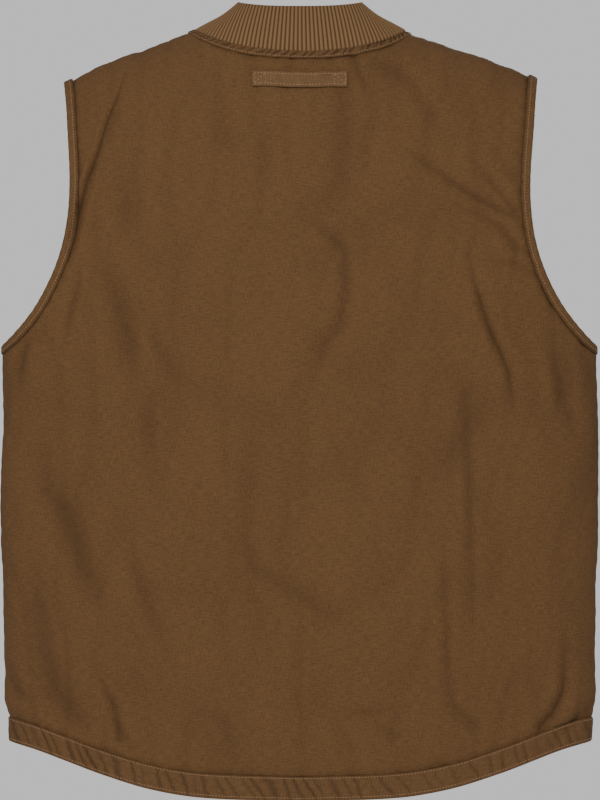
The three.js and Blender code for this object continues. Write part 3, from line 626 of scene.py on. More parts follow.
        def path(t):
            at = 1 + np.asarray(t) * spans
            low = np.clip(np.floor(at).astype(int), 0, len(knots) - 2)
            part = (at - low)[..., None]
            a, b = knots[low], knots[low + 1]
            lead = (b - knots[np.maximum(low - 1, 0)]) / 2
            trail = (knots[np.minimum(low + 2, len(knots) - 1)] - a) / 2
            place = a + lead * part + (3 * (b - a) - 2 * lead - trail) * part**2
            place = place + (2 * (a - b) + lead + trail) * part**3
            return side * place[..., 0], place[..., 1]

        return path

    def neck_edge(self, face, side):
        """The collar seam of one side of a face, from its middle to the shoulder."""
        half = self.sizes.neck_width / 2
        drop = self.sizes.back_neck_drop if face.sign > 0 else self.sizes.front_neck_drop
        start = 0 if face.sign > 0 else math.asin(self.ZIP_EDGE / half)

        def path(t):
            turn = start + np.asarray(t) * (QUARTER - start)
            x = half * np.sin(turn)
            z = -drop * (1 - np.abs(x / half) ** self.NECK_POWER)
            around, over = self.seen(face, x, z)
            return side * around, np.where(turn > QUARTER, -over, over)

        return path

    def above_hem(self, face, around, above):
        """The places a height above the face's lower edge."""
        aside = np.abs(np.sin(around)) ** (2 / self.SECTION_POWER)
        rise = from_table(TAIL_EDGE, "aside", "rise", aside) if face.sign > 0 else 1.0
        z = -self.drop + rise * self.sizes.tail_drop + above
        return np.asarray(around), self.seen(face, aside * self.half_width(z), z)[1]

    def beside_armhole(self, face, side, t, distance):
        """A place a way into the cloth from the armhole's edge."""
        return self.beside(face, self.armhole_edge(face, side), t, -side * face.sign * distance)

    def beside_neck(self, face, side, t, distance):
        """A place a way into the cloth from the collar seam."""
        return self.beside(face, self.neck_edge(face, side), t, -side * face.sign * distance)


class Panel:
    """One panel of the body as a grid of places between its four edges, each tucked a little
    under the strip that it is sewn to. Neck, shoulder, armhole and seam say how many cells lie
    along those edges."""

    TUCK = 0.0022
    TOP_FADE_POWER = 3
    RELAX_ROUNDS = 500

    # How the cloth puffs up beside its seams, from a little under the body's surface.
    PUFF = 0.003
    PUFF_FADE = 0.006
    SINK = 0.002

    # How close the small waves beside the seams stand, in metres.
    GATHER_PITCH = 0.0145
    GATHER_LEAN = 0.015
    TUCK_PITCH = 0.0028
    TUCK_CHANGE = 0.02
    PUCKERS_PER_GATHER = 7.1

    # How far from the seams a fold may draw the cloth aside.
    CALM_SEAM = 0.012
    CALM_SIDE = 0.05

    # How dark the shade painted into the cloth's colour is for a metre of wrinkle and at a seam.
    WRINKLE_SHADE = 200
    SEAM_SHADE = 0.8
    SEAM_SHADE_FADE = 0.002
    DARKEST = 2.5

    def __init__(self, body, face, side, neck, shoulder, armhole, seam):
        self.body, self.face, self.side = body, face, side
        self.counts = (neck + shoulder, armhole + seam)
        sizes = body.sizes
        neck_t = body.even(face, body.neck_edge(face, side), neck)
        arm_t = body.even(face, body.armhole_edge(face, side), armhole)
        at_neck = body.beside_neck(face, side, neck_t, sizes.neck_band_width - self.TUCK)
        at_arm = body.beside_armhole(face, side, arm_t, sizes.binding_width - self.TUCK)
        turn = np.linspace(at_neck[0][-1], at_arm[0][0], shoulder + 1)[1:]
        self.top = [np.append(at_neck[0], turn), np.append(at_neck[1], 0 * turn)]
        side_turn = np.full(seam, side * QUARTER)
        self.above = sizes.hem_height - self.TUCK
        lowest = body.above_hem(face, side * QUARTER, self.above)[1]
        fall = np.linspace(at_arm[1][-1], lowest, seam + 1)[1:]
        self.outer = [np.append(at_arm[0], side_turn), np.append(at_arm[1], fall)]

    def foot(self, start):
        """The panel's lower edge, from an angle near the middle to the side seam."""

        def line(t):
            turn = self.side * (start + np.asarray(t) * (QUARTER - start))
            return self.body.above_hem(self.face, turn, self.above)

        columns = self.counts[0]
        t = self.body.even(self.face, line, columns)
        return line((t + np.arange(columns + 1) / columns) / 2)

    @staticmethod
    def blend(top, foot, start, end):
        """Places blended from the four edges. The top edge's shape fades in the first rows."""
        places = []
        for above, below, first, last in zip(top, foot, start, end):
            u = np.linspace(0, 1, len(above))[:, None]
            v = 1 - (1 - np.linspace(0, 1, len(first))[None, :]) ** Panel.TOP_FADE_POWER
            between = above[:, None] * (1 - v) + below[:, None] * v
            sides = first[None, :] * (1 - u) + last[None, :] * u
            upper = above[0] * (1 - u) + above[-1] * u
            lower = below[0] * (1 - u) + below[-1] * u
            places.append(between + sides - upper * (1 - v) - lower * v)
        return [Panel.relaxed(place) for place in places]

    @staticmethod
    def relaxed(place):
        """Moves each place inside a grid to the middle of its four neighbours, round by round."""
        for _ in range(Panel.RELAX_ROUNDS):
            beside = place[2:, 1:-1] + place[:-2, 1:-1] + place[1:-1, 2:] + place[1:-1, :-2]
            place[1:-1, 1:-1] = beside / 4
        return place

    def ripples(self, smooth, foot_way, side_way, top_way):
        """How far the gathers at the hem, the tucks at the side seams and the puckers at the
        collar lift the cloth."""
        run = self.side * smooth[..., 0] / self.GATHER_PITCH
        gather = np.sin(2 * math.pi * run + 2.4 * wobble(run, 1.0) + foot_way / self.GATHER_LEAN)
        gather = gather * (0.5 + 0.5 * wobble(run * 0.7, 3.0))
        steps = np.diff(smooth[-1], axis=0, prepend=smooth[-1, :1])
        rim = np.cumsum(np.linalg.norm(steps, axis=-1))
        tuck = np.sin(rim / self.TUCK_PITCH + 2.0 * wobble(rim / self.TUCK_CHANGE, 2.0))[None, :]
        pucker = np.sin(run * self.PUCKERS_PER_GATHER + 1.5 * wobble(run, 5.0))
        waves = (
            (HEM_RIPPLE, gather, foot_way),
            (SIDE_RIPPLE, tuck, side_way),
            (NECK_RIPPLE, pucker, top_way),
        )
        return sum(kind.high * wave * np.exp(-way / kind.fade) for kind, wave, way in waves)

    def dressed(self, places):
        """The points of the panel, puffed up beside its seams, rippled, wrinkled and folded, and
        how dark the shade painted into its colour is at each one."""
        body, face = self.body, self.face
        smooth = body.bare(face, *places)
        edges = (smooth[:, -1:], smooth[:, :1], smooth[:1], smooth[-1:])
        ways = [np.linalg.norm(smooth - edge, axis=-1) for edge in edges]
        foot_way, top_way, first_way, last_way = ways
        seam_way = np.minimum.reduce(ways)
        side_way = np.minimum(first_way, last_way) if face.sign > 0 else last_way
        lift = self.PUFF * (1 - np.exp(-((seam_way / self.PUFF_FADE) ** 2))) - self.SINK
        lift = lift + self.ripples(smooth, foot_way, side_way, top_way)
        wrinkle = crumple(smooth[..., 0], smooth[..., 2], 3.1 * face.sign)
        out, aside, up, dark = body.folds(face, smooth[..., 0], smooth[..., 2])
        # Painted shade beside the seams and in the wrinkles, added to the folds' painted shade.
        painted_seam_shade = self.SEAM_SHADE * np.exp(-seam_way / self.SEAM_SHADE_FADE)
        dark = np.clip(dark + self.WRINKLE_SHADE * wrinkle + painted_seam_shade, 0, self.DARKEST)
        calm = smooth_step(seam_way / self.CALM_SEAM) * smooth_step(side_way / self.CALM_SIDE)
        slid = body.slide(face, *places, aside * calm, up * calm)
        lift = lift + out - wrinkle
        points = body.bare(face, *slid) + lift[..., None] * body.normal(face, *slid)
        return lapped(face, points), dark


def mesh_of(name, shape):
    """Turns a bmesh into a mesh and frees it."""
    mesh = bpy.data.meshes.new(name)
    shape.to_mesh(mesh)
    shape.free()
    return mesh


def sheet_mesh(name, points, places):
    """An open sheet on a grid of points, with its UV map on the flat cloth, and the numbers of
    the grid's point for each of its vertices."""
    columns, rows = points.shape[0] - 1, points.shape[1] - 1
    grid = bmesh.new()
    grid.loops.layers.uv.new("UVMap")
    bmesh.ops.create_grid(grid, x_segments=columns, y_segments=rows, size=1.0)
    mesh = mesh_of(name, grid)
    flat = np.empty(3 * len(mesh.vertices))
    mesh.vertices.foreach_get("co", flat)
    flat = flat.reshape(-1, 3)
    i = np.rint((flat[:, 0] + 1) / 2 * columns).astype(int)
    j = np.rint((flat[:, 1] + 1) / 2 * rows).astype(int)
    mesh.vertices.foreach_set("co", points[i, j].ravel())
    corners = np.empty(len(mesh.loops), dtype=np.int32)
    mesh.loops.foreach_get("vertex_index", corners)
    mesh.uv_layers["UVMap"].uv.foreach_set("vector", places[i, j][corners].ravel())
    mesh.update()
    return mesh, (i, j)


def closed_mesh(name, points, places, hollow, ring):
    """A closed skin from a grid of points whose rows go round a section, its painted shade kept on
    its vertices. A ring's last column meets its first, and other skins are capped at both ends."""
    mesh, numbers = sheet_mesh(name, points, places)
    keep_number(mesh, "hollow", np.broadcast_to(hollow, points.shape[:2])[numbers])
    skin = bmesh.new()
    skin.from_mesh(mesh)
    bmesh.ops.remove_doubles(skin, verts=skin.verts, dist=SAME_POINT)
    if not ring:
        rim = [edge for edge in skin.edges if edge.is_boundary]
        bmesh.ops.holes_fill(skin, edges=rim, sides=0)
        bmesh.ops.triangulate(skin, faces=[cap for cap in skin.faces if len(cap.verts) > 4])
    bmesh.ops.recalc_face_normals(skin, faces=skin.faces)
    skin.to_mesh(mesh)
    skin.free()
    return mesh


def keep_number(mesh, name, values):
    """Stores one number for each vertex of a mesh."""
    layer = mesh.attributes.new(name, "FLOAT", "POINT")
    layer.data.foreach_set("value", np.ascontiguousarray(values, dtype=np.float32))


def place_piece(name, mesh, material, node):
    """Puts a piece on the vest in the place of a node of the frame."""
    mesh.shade_smooth()
    mesh.materials.clear()
    mesh.materials.append(material)
    piece = bpy.data.objects.new(name, mesh)
    bpy.context.scene.collection.objects.link(piece)
    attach(piece, "root")
    if node:
        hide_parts(node)
    return piece


def rounded_section(width, thick, radius, count):
    """Points round a flat section with rounded corners, evenly spaced and closed."""
    radius = min(radius, width / 2 - CORNER_SPARE, thick / 2 - CORNER_SPARE)
    turns = np.linspace(0, QUARTER, SECTION_CORNER_POINTS)
    corners = []
    for k, (a, b) in enumerate(((1, 1), (-1, 1), (-1, -1), (1, -1))):
        turn = turns + k * QUARTER
        across = a * (width / 2 - radius) + radius * np.cos(turn)
        lift = b * (thick / 2 - radius) + radius * np.sin(turn)
        corners.append(np.stack([across, lift], axis=-1))
    line = np.vstack([*corners, corners[0][:1]])
    return point_at(line, spread(line, np.linspace(0, 1, count + 1))).T


def turned_to(axes, place):
    """A matrix that turns x, y and z to three axes and moves to a place."""
    turned = Matrix([tuple(axis) for axis in axes]).transposed().to_4x4()
    turned.translation = Vector(place)
    return turned


def copies_of(name, shape, turns):
    """A mesh with a copy of a bmesh for each matrix."""
    pattern = mesh_of("pattern", shape)
    joined = bmesh.new()
    for turned in turns:
        first = len(joined.verts)
        joined.from_mesh(pattern)
        joined.verts.ensure_lookup_table()
        bmesh.ops.transform(joined, matrix=turned, verts=joined.verts[first:])
    bpy.data.meshes.remove(pattern)
    return mesh_of(name, joined)


def stitches(name, runs):
    """Threads along lines of points, each stitch a small spindle half sunk in the cloth. A run is
    the points of its line and the ways out of the cloth at them."""
    spindle = bmesh.new()
    bmesh.ops.create_uvsphere(spindle, u_segments=6, v_segments=5, radius=0.5)
    bmesh.ops.scale(spindle, vec=STITCH_SIZE, verts=spindle.verts)
    turns = []
    for points, outs in runs:
        count = max(int(line_lengths(points)[-1] / STITCH_PITCH), 1)
        at = spread(points, (np.arange(count) + 0.5) / count)
        ahead = point_at(points, np.minimum(at + STITCH_AHEAD, len(points) - 1))
        behind = point_at(points, np.maximum(at - STITCH_AHEAD, 0))
        ways = ahead - behind
        for centre, out, way in zip(point_at(points, at), point_at(outs, at), ways):
            along = Vector(way).normalized()
            aside = Vector(out).normalized().cross(along).normalized()
            turns.append(turned_to((aside, along.cross(aside), along), centre))
    mesh = copies_of(name, spindle, turns)
    return place_piece(name, mesh, shared_finish("seam thread"), None)


class Signal:
    """One socket of a material, so that sums and products read as they are written."""

    def __init__(self, finish, socket):
        self.finish, self.socket = finish, socket

    def math(self, operation, *values):
        return self.finish.node("ShaderNodeMath", {"operation": operation}, *values)

    def __add__(self, other):
        return self.math("ADD", self, other)

    def __sub__(self, other):
        return self.math("SUBTRACT", self, other)

    def __rsub__(self, other):
        return self.math("SUBTRACT", other, self)

    def __mul__(self, other):
        return self.math("MULTIPLY", self, other)

    def sine(self):
        return self.math("SINE", self)

    def between(self, low, high):
        """Cut off below low and above high."""
        return self.math("MINIMUM", self.math("MAXIMUM", self, low), high)

    __radd__ = __add__
    __rmul__ = __mul__


class Finish:
    """A material and its nodes."""

    def __init__(self, name):
        self.material = bpy.data.materials.new(name)
        self.material.use_nodes = True
        self.tree = self.material.node_tree
        self.tree.nodes.clear()

    def node(self, kind, settings, *values, output=0, **named):
        """Adds a node, sets its settings, and sets or links its sockets in their order or by
        their names."""
        made = self.tree.nodes.new(kind)
        for name, value in settings.items():
            setattr(made, name, value)
        for key, value in [*enumerate(values), *named.items()]:
            socket = made.inputs[key.replace("_", " ") if isinstance(key, str) else key]
            if isinstance(value, Signal):
                self.tree.links.new(value.socket, socket)
            elif value is not None:
                socket.default_value = value
        return Signal(self, made.outputs[output]) if len(made.outputs) else None

    def cloth_place(self):
        return self.node("ShaderNodeUVMap", {"uv_map": "UVMap"})

    def object_place(self):
        return self.node("ShaderNodeTexCoord", {}, output=3)

    def hollow(self):
        """How dark the shade painted into a place's colour is, as its mesh keeps it."""
        return self.node("ShaderNodeAttribute", {"attribute_name": "hollow"}, output=2)

    def bump(self, height, strength, distance=0.0003):
        return self.node(
            "ShaderNodeBump", {}, Strength=strength, Distance=distance, Height=height)

    def parts(self, vector):
        """The first two parts of a vector."""
        x = self.node("ShaderNodeSeparateXYZ", {}, vector)
        return x, Signal(self, x.socket.node.outputs[1])

    def noise(self, vector, stretch, detail):
        """Noise with so many waves to a metre each way."""
        scaled = self.node("ShaderNodeVectorMath", {"operation": "MULTIPLY"}, vector, stretch)
        return self.node("ShaderNodeTexNoise", {}, Vector=scaled, Scale=1.0, Detail=detail)

    def colour_mix(self, factor, low, high):
        skipped = [None] * 5
        return self.node(
            "ShaderNodeMix", {"data_type": "RGBA"}, factor, *skipped, low, high, output=2)

    def surface(self, **values):
        """Ends the nodes with a shader and gives the material."""
        shader = self.node("ShaderNodeBsdfPrincipled", {}, **values)
        self.node("ShaderNodeOutputMaterial", {}, shader)
        return self.material


def shade(colour, share):
    """A colour made darker or lighter by a share."""
    return (*[min(part * share, 1.0) for part in colour], 1.0)


def duck_finish(name, colour):
    """Cotton duck: a plain weave with uneven yarns, faded a little here and there, darker in
    its painted shade.
    """
    finish = Finish(name)
    place = finish.cloth_place()
    across, down = finish.parts(place)
    warp = (across * (2 * math.pi / WARP_PITCH)).sine()
    weft = (down * (2 * math.pi / WEFT_PITCH)).sine()
    weave = warp * weft
    slub = finish.noise(place, (110.0, 900.0, 1.0), 3.0)
    yarn = finish.noise(place, (1100.0, 130.0, 1.0), 2.0)
    fade = finish.noise(place, (14.0, 11.0, 1.0), 3.0)
    grain = finish.noise(place, (620.0, 620.0, 1.0), 2.0)
    yarns = (slub - 0.5) * 0.65 + (yarn - 0.5) * 0.5 + (grain - 0.5) * 0.6 + weave * 0.1
    tone = 0.5 + yarns * DUCK_CONTRAST
    tone = (tone + (fade - 0.5) * 0.35).between(0.0, 1.0)
    woven = finish.colour_mix(tone, shade(colour, 0.76), shade(colour, 1.24))
    # Painted shade: the colour darkens towards a fifth of itself where the mesh keeps shade.
    base = finish.colour_mix(finish.hollow() * 0.27, woven, shade(colour, 0.2))
    height = weave * 0.5 + slub * 0.9 + yarn * 0.6 + grain * 0.6
    return finish.surface(
        Base_Color=base, Roughness=0.86 + (slub - 0.5) * 0.16, Normal=finish.bump(height, 0.55),
        Specular_IOR_Level=0.12)


def knit_finish(name, colour):
    """Rib knit: small loops stacked along each rib, with painted shade in the grooves between
    them.
    """
    finish = Finish(name)
    place = finish.cloth_place()
    across, up = finish.parts(place)
    crest = (across * (2 * math.pi)).sine()
    loops = (up * (2 * math.pi / KNIT_PITCH) + crest * 1.2).sine()
    fuzz = finish.noise(place, (9.0, 900.0, 1.0), 3.0)
    # Painted shade in the grooves between the ribs, as the collar's mesh keeps it.
    tone = 0.72 + (fuzz - 0.5) * 0.7 + loops * 0.1 - finish.hollow() * 1.05
    base = finish.colour_mix(tone.between(0.0, 1.0), shade(colour, 0.4), shade(colour, 1.22))
    height = loops * 0.6 + fuzz * 0.8
    return finish.surface(
        Base_Color=base, Roughness=0.9 + (fuzz - 0.5) * 0.1, Normal=finish.bump(height, 0.6),
        Specular_IOR_Level=0.12)


def thread_finish(name, colour):
    """Spun thread with a slight gloss and a twist."""
    finish = Finish(name)
    place = finish.object_place()
    twist = finish.noise(place, (2600.0, 2600.0, 2600.0), 1.0)
    base = finish.colour_mix(twist, shade(colour, 0.8), shade(colour, 1.2))
    return finish.surface(
        Base_Color=base, Roughness=0.62 + (twist - 0.5) * 0.2,
        Normal=finish.bump(twist, 0.4, 0.0001), Specular_IOR_Level=0.35)


def metal_finish(name, colour):
    """Brushed brass, dulled and rubbed brighter in places."""
    finish = Finish(name)
    place = finish.object_place()
    rub = finish.noise(place, (300.0, 300.0, 90.0), 4.0)
    scratch = finish.noise(place, (2500.0, 300.0, 300.0), 2.0)
    base = finish.colour_mix(rub, shade(colour, 0.7), shade(colour, 1.5))
    return finish.surface(
        Base_Color=base, Roughness=0.36 + (rub - 0.5) * 0.3,
        Normal=finish.bump(scratch, 0.2, 0.0001), Metallic=0.9)


def floor_finish(name, colour):
    """Matt studio paper with a faint cloud to it."""
    finish = Finish(name)
    place = finish.object_place()
    cloud = finish.noise(place, (1.5, 1.5, 1.5), 2.0)
    base = finish.colour_mix(cloud, shade(colour, 0.985), shade(colour, 1.0))
    return finish.surface(Base_Color=base, Roughness=0.95)


def shared_finish(name):
    """A finish by its name, made when it is first asked for."""
    colours = bpy.context.scene.vest_colours
    makers = {
        "cotton duck": (duck_finish, colours.duck),
        "trim duck": (duck_finish, colours.trim),
        "loop webbing": (duck_finish, colours.loop),
        "rib knit": (knit_finish, colours.rib),
        "seam thread": (thread_finish, colours.thread),
        "zip metal": (metal_finish, colours.metal),
        "studio paper": (floor_finish, colours.floor),
    }
    maker, colour = makers[name]
    return bpy.data.materials.get(name) or maker(name, colour)


def cloth_panel(name, panel, places):
    """A panel as a piece of cloth with its wall turned inwards."""
    points, dark = panel.dressed(places)
    threads = panel.body.thread_place(panel.face, *places)
    mesh, numbers = sheet_mesh(f"{name}_cloth", points, threads)
    # Keeps the painted shade of the folds, wrinkles and seams on the vertices, for the colour.
    keep_number(mesh, "hollow", dark[numbers])
    inside = Vector((0.0, 0.0, points[..., 2].mean()))
    middle = mesh.polygons[len(mesh.polygons) // 2]
    if (middle.center - inside).dot(middle.normal) < 0:
        mesh.flip_normals()
    piece = place_piece(f"{name}_cloth", mesh, shared_finish("cotton duck"), name)
    wall = piece.modifiers.new("Wall", "SOLIDIFY")
    wall.thickness = panel.body.sizes.cloth_wall
    wall.offset = -1.0
    wall.use_quality_normals = True
    return piece


class VEST_OT_back_panel(bpy.types.Operator):
    """Adds the back of the vest, with its folds."""

    bl_idname = "vest.back_panel"
    bl_label = "Back panel"

    CELLS = {"neck": 36, "shoulder": 58, "armhole": 100, "seam": 160}

    def execute(self, context):
        body = Body(context.scene.vest_sizes)
        left, right = (Panel(body, body.back, side, **self.CELLS) for side in (1, -1))
        top, foot = (
            [np.append(far[:0:-1], near) for far, near in zip(*lines)]
            for lines in ((right.top, left.top), (right.foot(0.0), left.foot(0.0))))
        places = Panel.blend(top, foot, right.outer, left.outer)
        piece = cloth_panel("back_panel", left, places)
        return {"FINISHED"}


class VEST_OT_front_panels(bpy.types.Operator):
    """Adds the two halves of the front."""

    bl_idname = "vest.front_panels"
    bl_label = "Front panels"

    CELLS = {"neck": 30, "shoulder": 46, "armhole": 88, "seam": 120}

    def execute(self, context):
        body = Body(context.scene.vest_sizes)
        for side, name in ((1, "left"), (-1, "right")):
            panel = Panel(body, body.front, side, **self.CELLS)
            height = body.bare(body.front, panel.top[0][0], panel.top[1][0])[2]
            low = -body.drop + body.sizes.tail_drop + panel.above
            rows = np.linspace(height, low, panel.counts[1] + 1)
            zip_edge = body.seen(body.front, side * body.ZIP_EDGE, rows)
            top = [line.copy() for line in panel.top]
            top[0][0], top[1][0] = zip_edge[0][0], zip_edge[1][0]
            foot = panel.foot(abs(zip_edge[0][-1]))
            places = Panel.blend(top, foot, zip_edge, panel.outer)
            piece = cloth_panel(f"front_panel_{name}", panel, places)
        return {"FINISHED"}


# The collar's upper edge: how far it stands out behind and in front, and how high it is there
# and at its sides.
COLLAR_POWER = 2.7
COLLAR_DEEP_BACK = 0.04
COLLAR_DEEP_FRONT = 0.052
COLLAR_BACK_HEIGHT = 0.023
COLLAR_FRONT_HEIGHT = -0.042
COLLAR_SIDE_HEIGHT = 0.0286


def collar_top(turn, sizes):
    """The collar's upper edge at an angle round it, 0 at the back and a half turn in front."""
    power = 2 / COLLAR_POWER
    behind = np.cos(turn) > 0
    deep = np.abs(np.cos(turn)) ** power
    y = np.where(behind, COLLAR_DEEP_BACK * deep, -COLLAR_DEEP_FRONT * deep)
    end = np.where(behind, COLLAR_BACK_HEIGHT, COLLAR_FRONT_HEIGHT)
    z = COLLAR_SIDE_HEIGHT + (end - COLLAR_SIDE_HEIGHT) * deep**2
    return np.stack([sizes.top_width / 2 * np.abs(np.sin(turn)) ** power, y, z], axis=-1)


class VEST_OT_collar(bpy.types.Operator):
    """Adds the rib-knit collar, folded double over its upper edge."""

    bl_idname = "vest.collar"
    bl_label = "Collar"

    # How deep the collar's foot is tucked in, and how far the ribs lean forward: everywhere, and
    # once more on the shoulders.
    TUCK = 0.003
    LEAN = 0.24
    TURN = 0.035
    TURN_PLACE = 0.38
    TURN_SPAN = 0.09

    # The ribs' own shape, and the height that their section is drawn for.
    BULGE = 0.0025
    GROOVE_WIDTH = 0.145
    CREST = 0.25
    DRAWN_HEIGHT = 0.05
    SECTION_POINTS = 40
    INNER_ASIDE = 0.2

    def seam(self, body):
        """Half of the collar's lower edge, tucked under the neck band, from back to front."""
        t = np.linspace(0, 1, SAMPLES)
        behind = body.cloth(body.back, *body.beside_neck(body.back, 1, t, self.TUCK))
        before = body.cloth(body.front, *body.beside_neck(body.front, 1, t, self.TUCK))
        return np.vstack([behind, before[:-1][::-1]])

    def execute(self, context):
        sizes = context.scene.vest_collar
        body = Body(context.scene.vest_sizes)
        seam = self.seam(body)
        rim = collar_top(np.linspace(0, 2 * QUARTER, 2 * SAMPLES), sizes)
        rim = rim[: np.flatnonzero(rim[:, 0] > body.ZIP_EDGE)[-1] + 1]
        ribs = round(line_lengths(seam)[-1] / sizes.rib_pitch)
        share = np.linspace(0, 1, ribs * sizes.points_per_rib + 1)
        turned = self.TURN * np.exp(-(((share - self.TURN_PLACE) / self.TURN_SPAN) ** 2))
        lean = share + self.LEAN * np.sin(math.pi * share) / math.pi + turned
        feet = point_at(seam, spread(seam, share))
        heads = point_at(rim, spread(rim, lean))
        feet, heads, number = (
            np.concatenate([line[:0:-1] * mirror, line])
            for line, mirror in ((feet, (-1, 1, 1)), (heads, (-1, 1, 1)), (share * ribs, -1)))
        up = heads - feet
        out = unit(np.cross(np.gradient(feet, axis=0), up))
        out *= np.sign((out[:, 1] * feet[:, 1]).sum())
        thick = sizes.wall / self.DRAWN_HEIGHT
        section = rounded_section(1.0, thick, thick / 2, self.SECTION_POINTS)
        height = np.clip(section[0] + 0.5, 0, 1)[None, :]
        layer = section[1][None, :] * self.DRAWN_HEIGHT
        phase = (number[:, None] % 1.0) - 0.5
        groove = np.exp(-((phase / self.GROOVE_WIDTH) ** 2))
        crest = self.CREST * (1 - (phase * 2) ** 2)
        outside = np.clip(layer / (sizes.wall / 2), -1, 1)
        depth = sizes.rib_depth * (groove + crest - self.CREST) * np.abs(outside) ** 0.5
        middle = -sizes.wall / 2 + self.BULGE * 4 * height * (1 - height)
        lift = middle + layer - np.sign(outside) * depth
        points = feet[:, None] + height[..., None] * up[:, None] + lift[..., None] * out[:, None]
        length = np.linalg.norm(up, axis=1)[:, None] * height + (outside < 0) * self.INNER_ASIDE
        places = np.stack(np.broadcast_arrays(number[:, None], length), axis=-1)
        # The grooves between the ribs are also kept as painted shade for the knit's colour.
        mesh = closed_mesh("collar_rib_knit", points, places, groove, False)
        piece = place_piece(
            "collar_rib_knit", mesh, shared_finish("rib knit"), "collar_rib")
        return {"FINISHED"}


class Strip:
    """A sewn strip of cloth with a rounded section. A point of it is told by u, the share of its
    length, across, the way from its middle line, and lift, the way out from its middle."""

    # The section's size, how deep its middle is sunk in the cloth, and its points.
    THICK = 0.0042
    CORNER = 0.0018
    SINK = 0.0015
    SECTION_POINTS = 26

    # How far beside the outer side the inner one lies on the flat cloth.
    INNER_ASIDE = 0.02

    THREAD_FOOT = 0.0001
    FINISH = "trim duck"
    SLOT = "trim"
    RING = False

    def __init__(self, body, width, long, columns):
        self.body, self.width, self.long, self.columns = body, width, long, columns

    def painted_darkness(self, u, across):
        """How dark the shade painted into the strip's colour is."""
        return 0.0

    def flat_place(self, u, across, lift):
        """Where a point lies on the flat cloth, in metres along and across."""
        return u * self.long, across + (lift < 0) * self.INNER_ASIDE

    def run(self, u, across):
        """A row of stitches on the outer side: its points and the ways out of the cloth."""
        u, across = np.broadcast_arrays(u, across)
        top = self.point(u, across, self.THICK / 2)
        return top, top - self.point(u, across, self.THREAD_FOOT)

    def build(self, name, node):
        """Adds the strip as a piece, in the place of a node."""
        section = rounded_section(self.width, self.THICK, self.CORNER, self.SECTION_POINTS)
        across, lift = section[:, None, :]
        u = np.linspace(0, 1, self.columns + 1)[:, None]
        points = self.point(u, across, lift)
        places = np.stack(np.broadcast_arrays(*self.flat_place(u, across, lift)), axis=-1)
        mesh = closed_mesh(name, points, places, self.painted_darkness(u, across), self.RING)
        return place_piece(name, mesh, shared_finish(self.FINISH), node)


class NeckBand(Strip):
    """The puckered strip under the collar, from one side of the zip round the back to the
    other."""

    LONG = 0.6
    COLUMNS = 640
    ROW_POINTS = 900
    ROW_PLACE = 0.32

    # The puckers' height, their pitch in metres for each radian, along and across, and how soon
    # they change along the strip.
    PUCKER_HEIGHT = 0.0009
    PUCKER_PITCH = 0.0014
    PUCKER_LEAN = 0.0013
    PITCH_CHANGE = 0.012
    HEIGHT_CHANGE = 0.01

    def __init__(self, body):
        super().__init__(body, body.sizes.neck_band_width, self.LONG, self.COLUMNS)
        self.parts = (
            (body.front, 1, 0, 1),
            (body.back, 1, 1, 0),
            (body.back, -1, 0, 1),
            (body.front, -1, 1, 0),
        )

    def pucker(self, u, across):
        """How far the cloth stands out in a pucker, or sinks between two, from -1 to 1."""
        run = u * self.long
        uneven = 3.5 * wobble(run / self.PITCH_CHANGE, 2.0)
        wave = np.sin(run / self.PUCKER_PITCH + across / self.PUCKER_LEAN + uneven)
        strength = 0.6 + 0.4 * wobble(run / self.HEIGHT_CHANGE, 6.0)
        return strength * wave * (1 - (2 * across / self.width) ** 2)

    def painted_darkness(self, u, across):
        # Painted shade over the band, darkest between the puckers.
        return np.clip(0.7 - 2.4 * self.pucker(u, across), 0, 2.2)

    def point(self, u, across, lift):
        rise = self.PUCKER_HEIGHT * self.pucker(u, across)
        lifted = -self.SINK + lift + np.sign(lift) * rise
        u, below, lifted = np.broadcast_arrays(u, self.width / 2 + across, lifted)
        points = np.zeros((*u.shape, 3))
        count = len(self.parts)
        for k, (face, side, first, last) in enumerate(self.parts):
            mine = np.clip(np.floor(u * count), 0, count - 1) == k
            t = first + (last - first) * (u[mine] * count - k)
            place = self.body.beside_neck(face, side, t, below[mine])
            points[mine] = self.body.cloth(face, *place, lifted[mine])
        return points


class VEST_OT_neck_band(bpy.types.Operator):
    """Adds the puckered strip that joins the collar to the body, with its stitches."""

    bl_idname = "vest.neck_band"
    bl_label = "Neck band"

    def execute(self, context):
        band = NeckBand(Body(context.scene.vest_sizes))
        piece = band.build("neck_band_cloth", "neck_band")
        row = band.run(np.linspace(*ROW_ENDS, band.ROW_POINTS), band.ROW_PLACE * band.width)
        stitches("neck_band_stitches", [row])
        return {"FINISHED"}


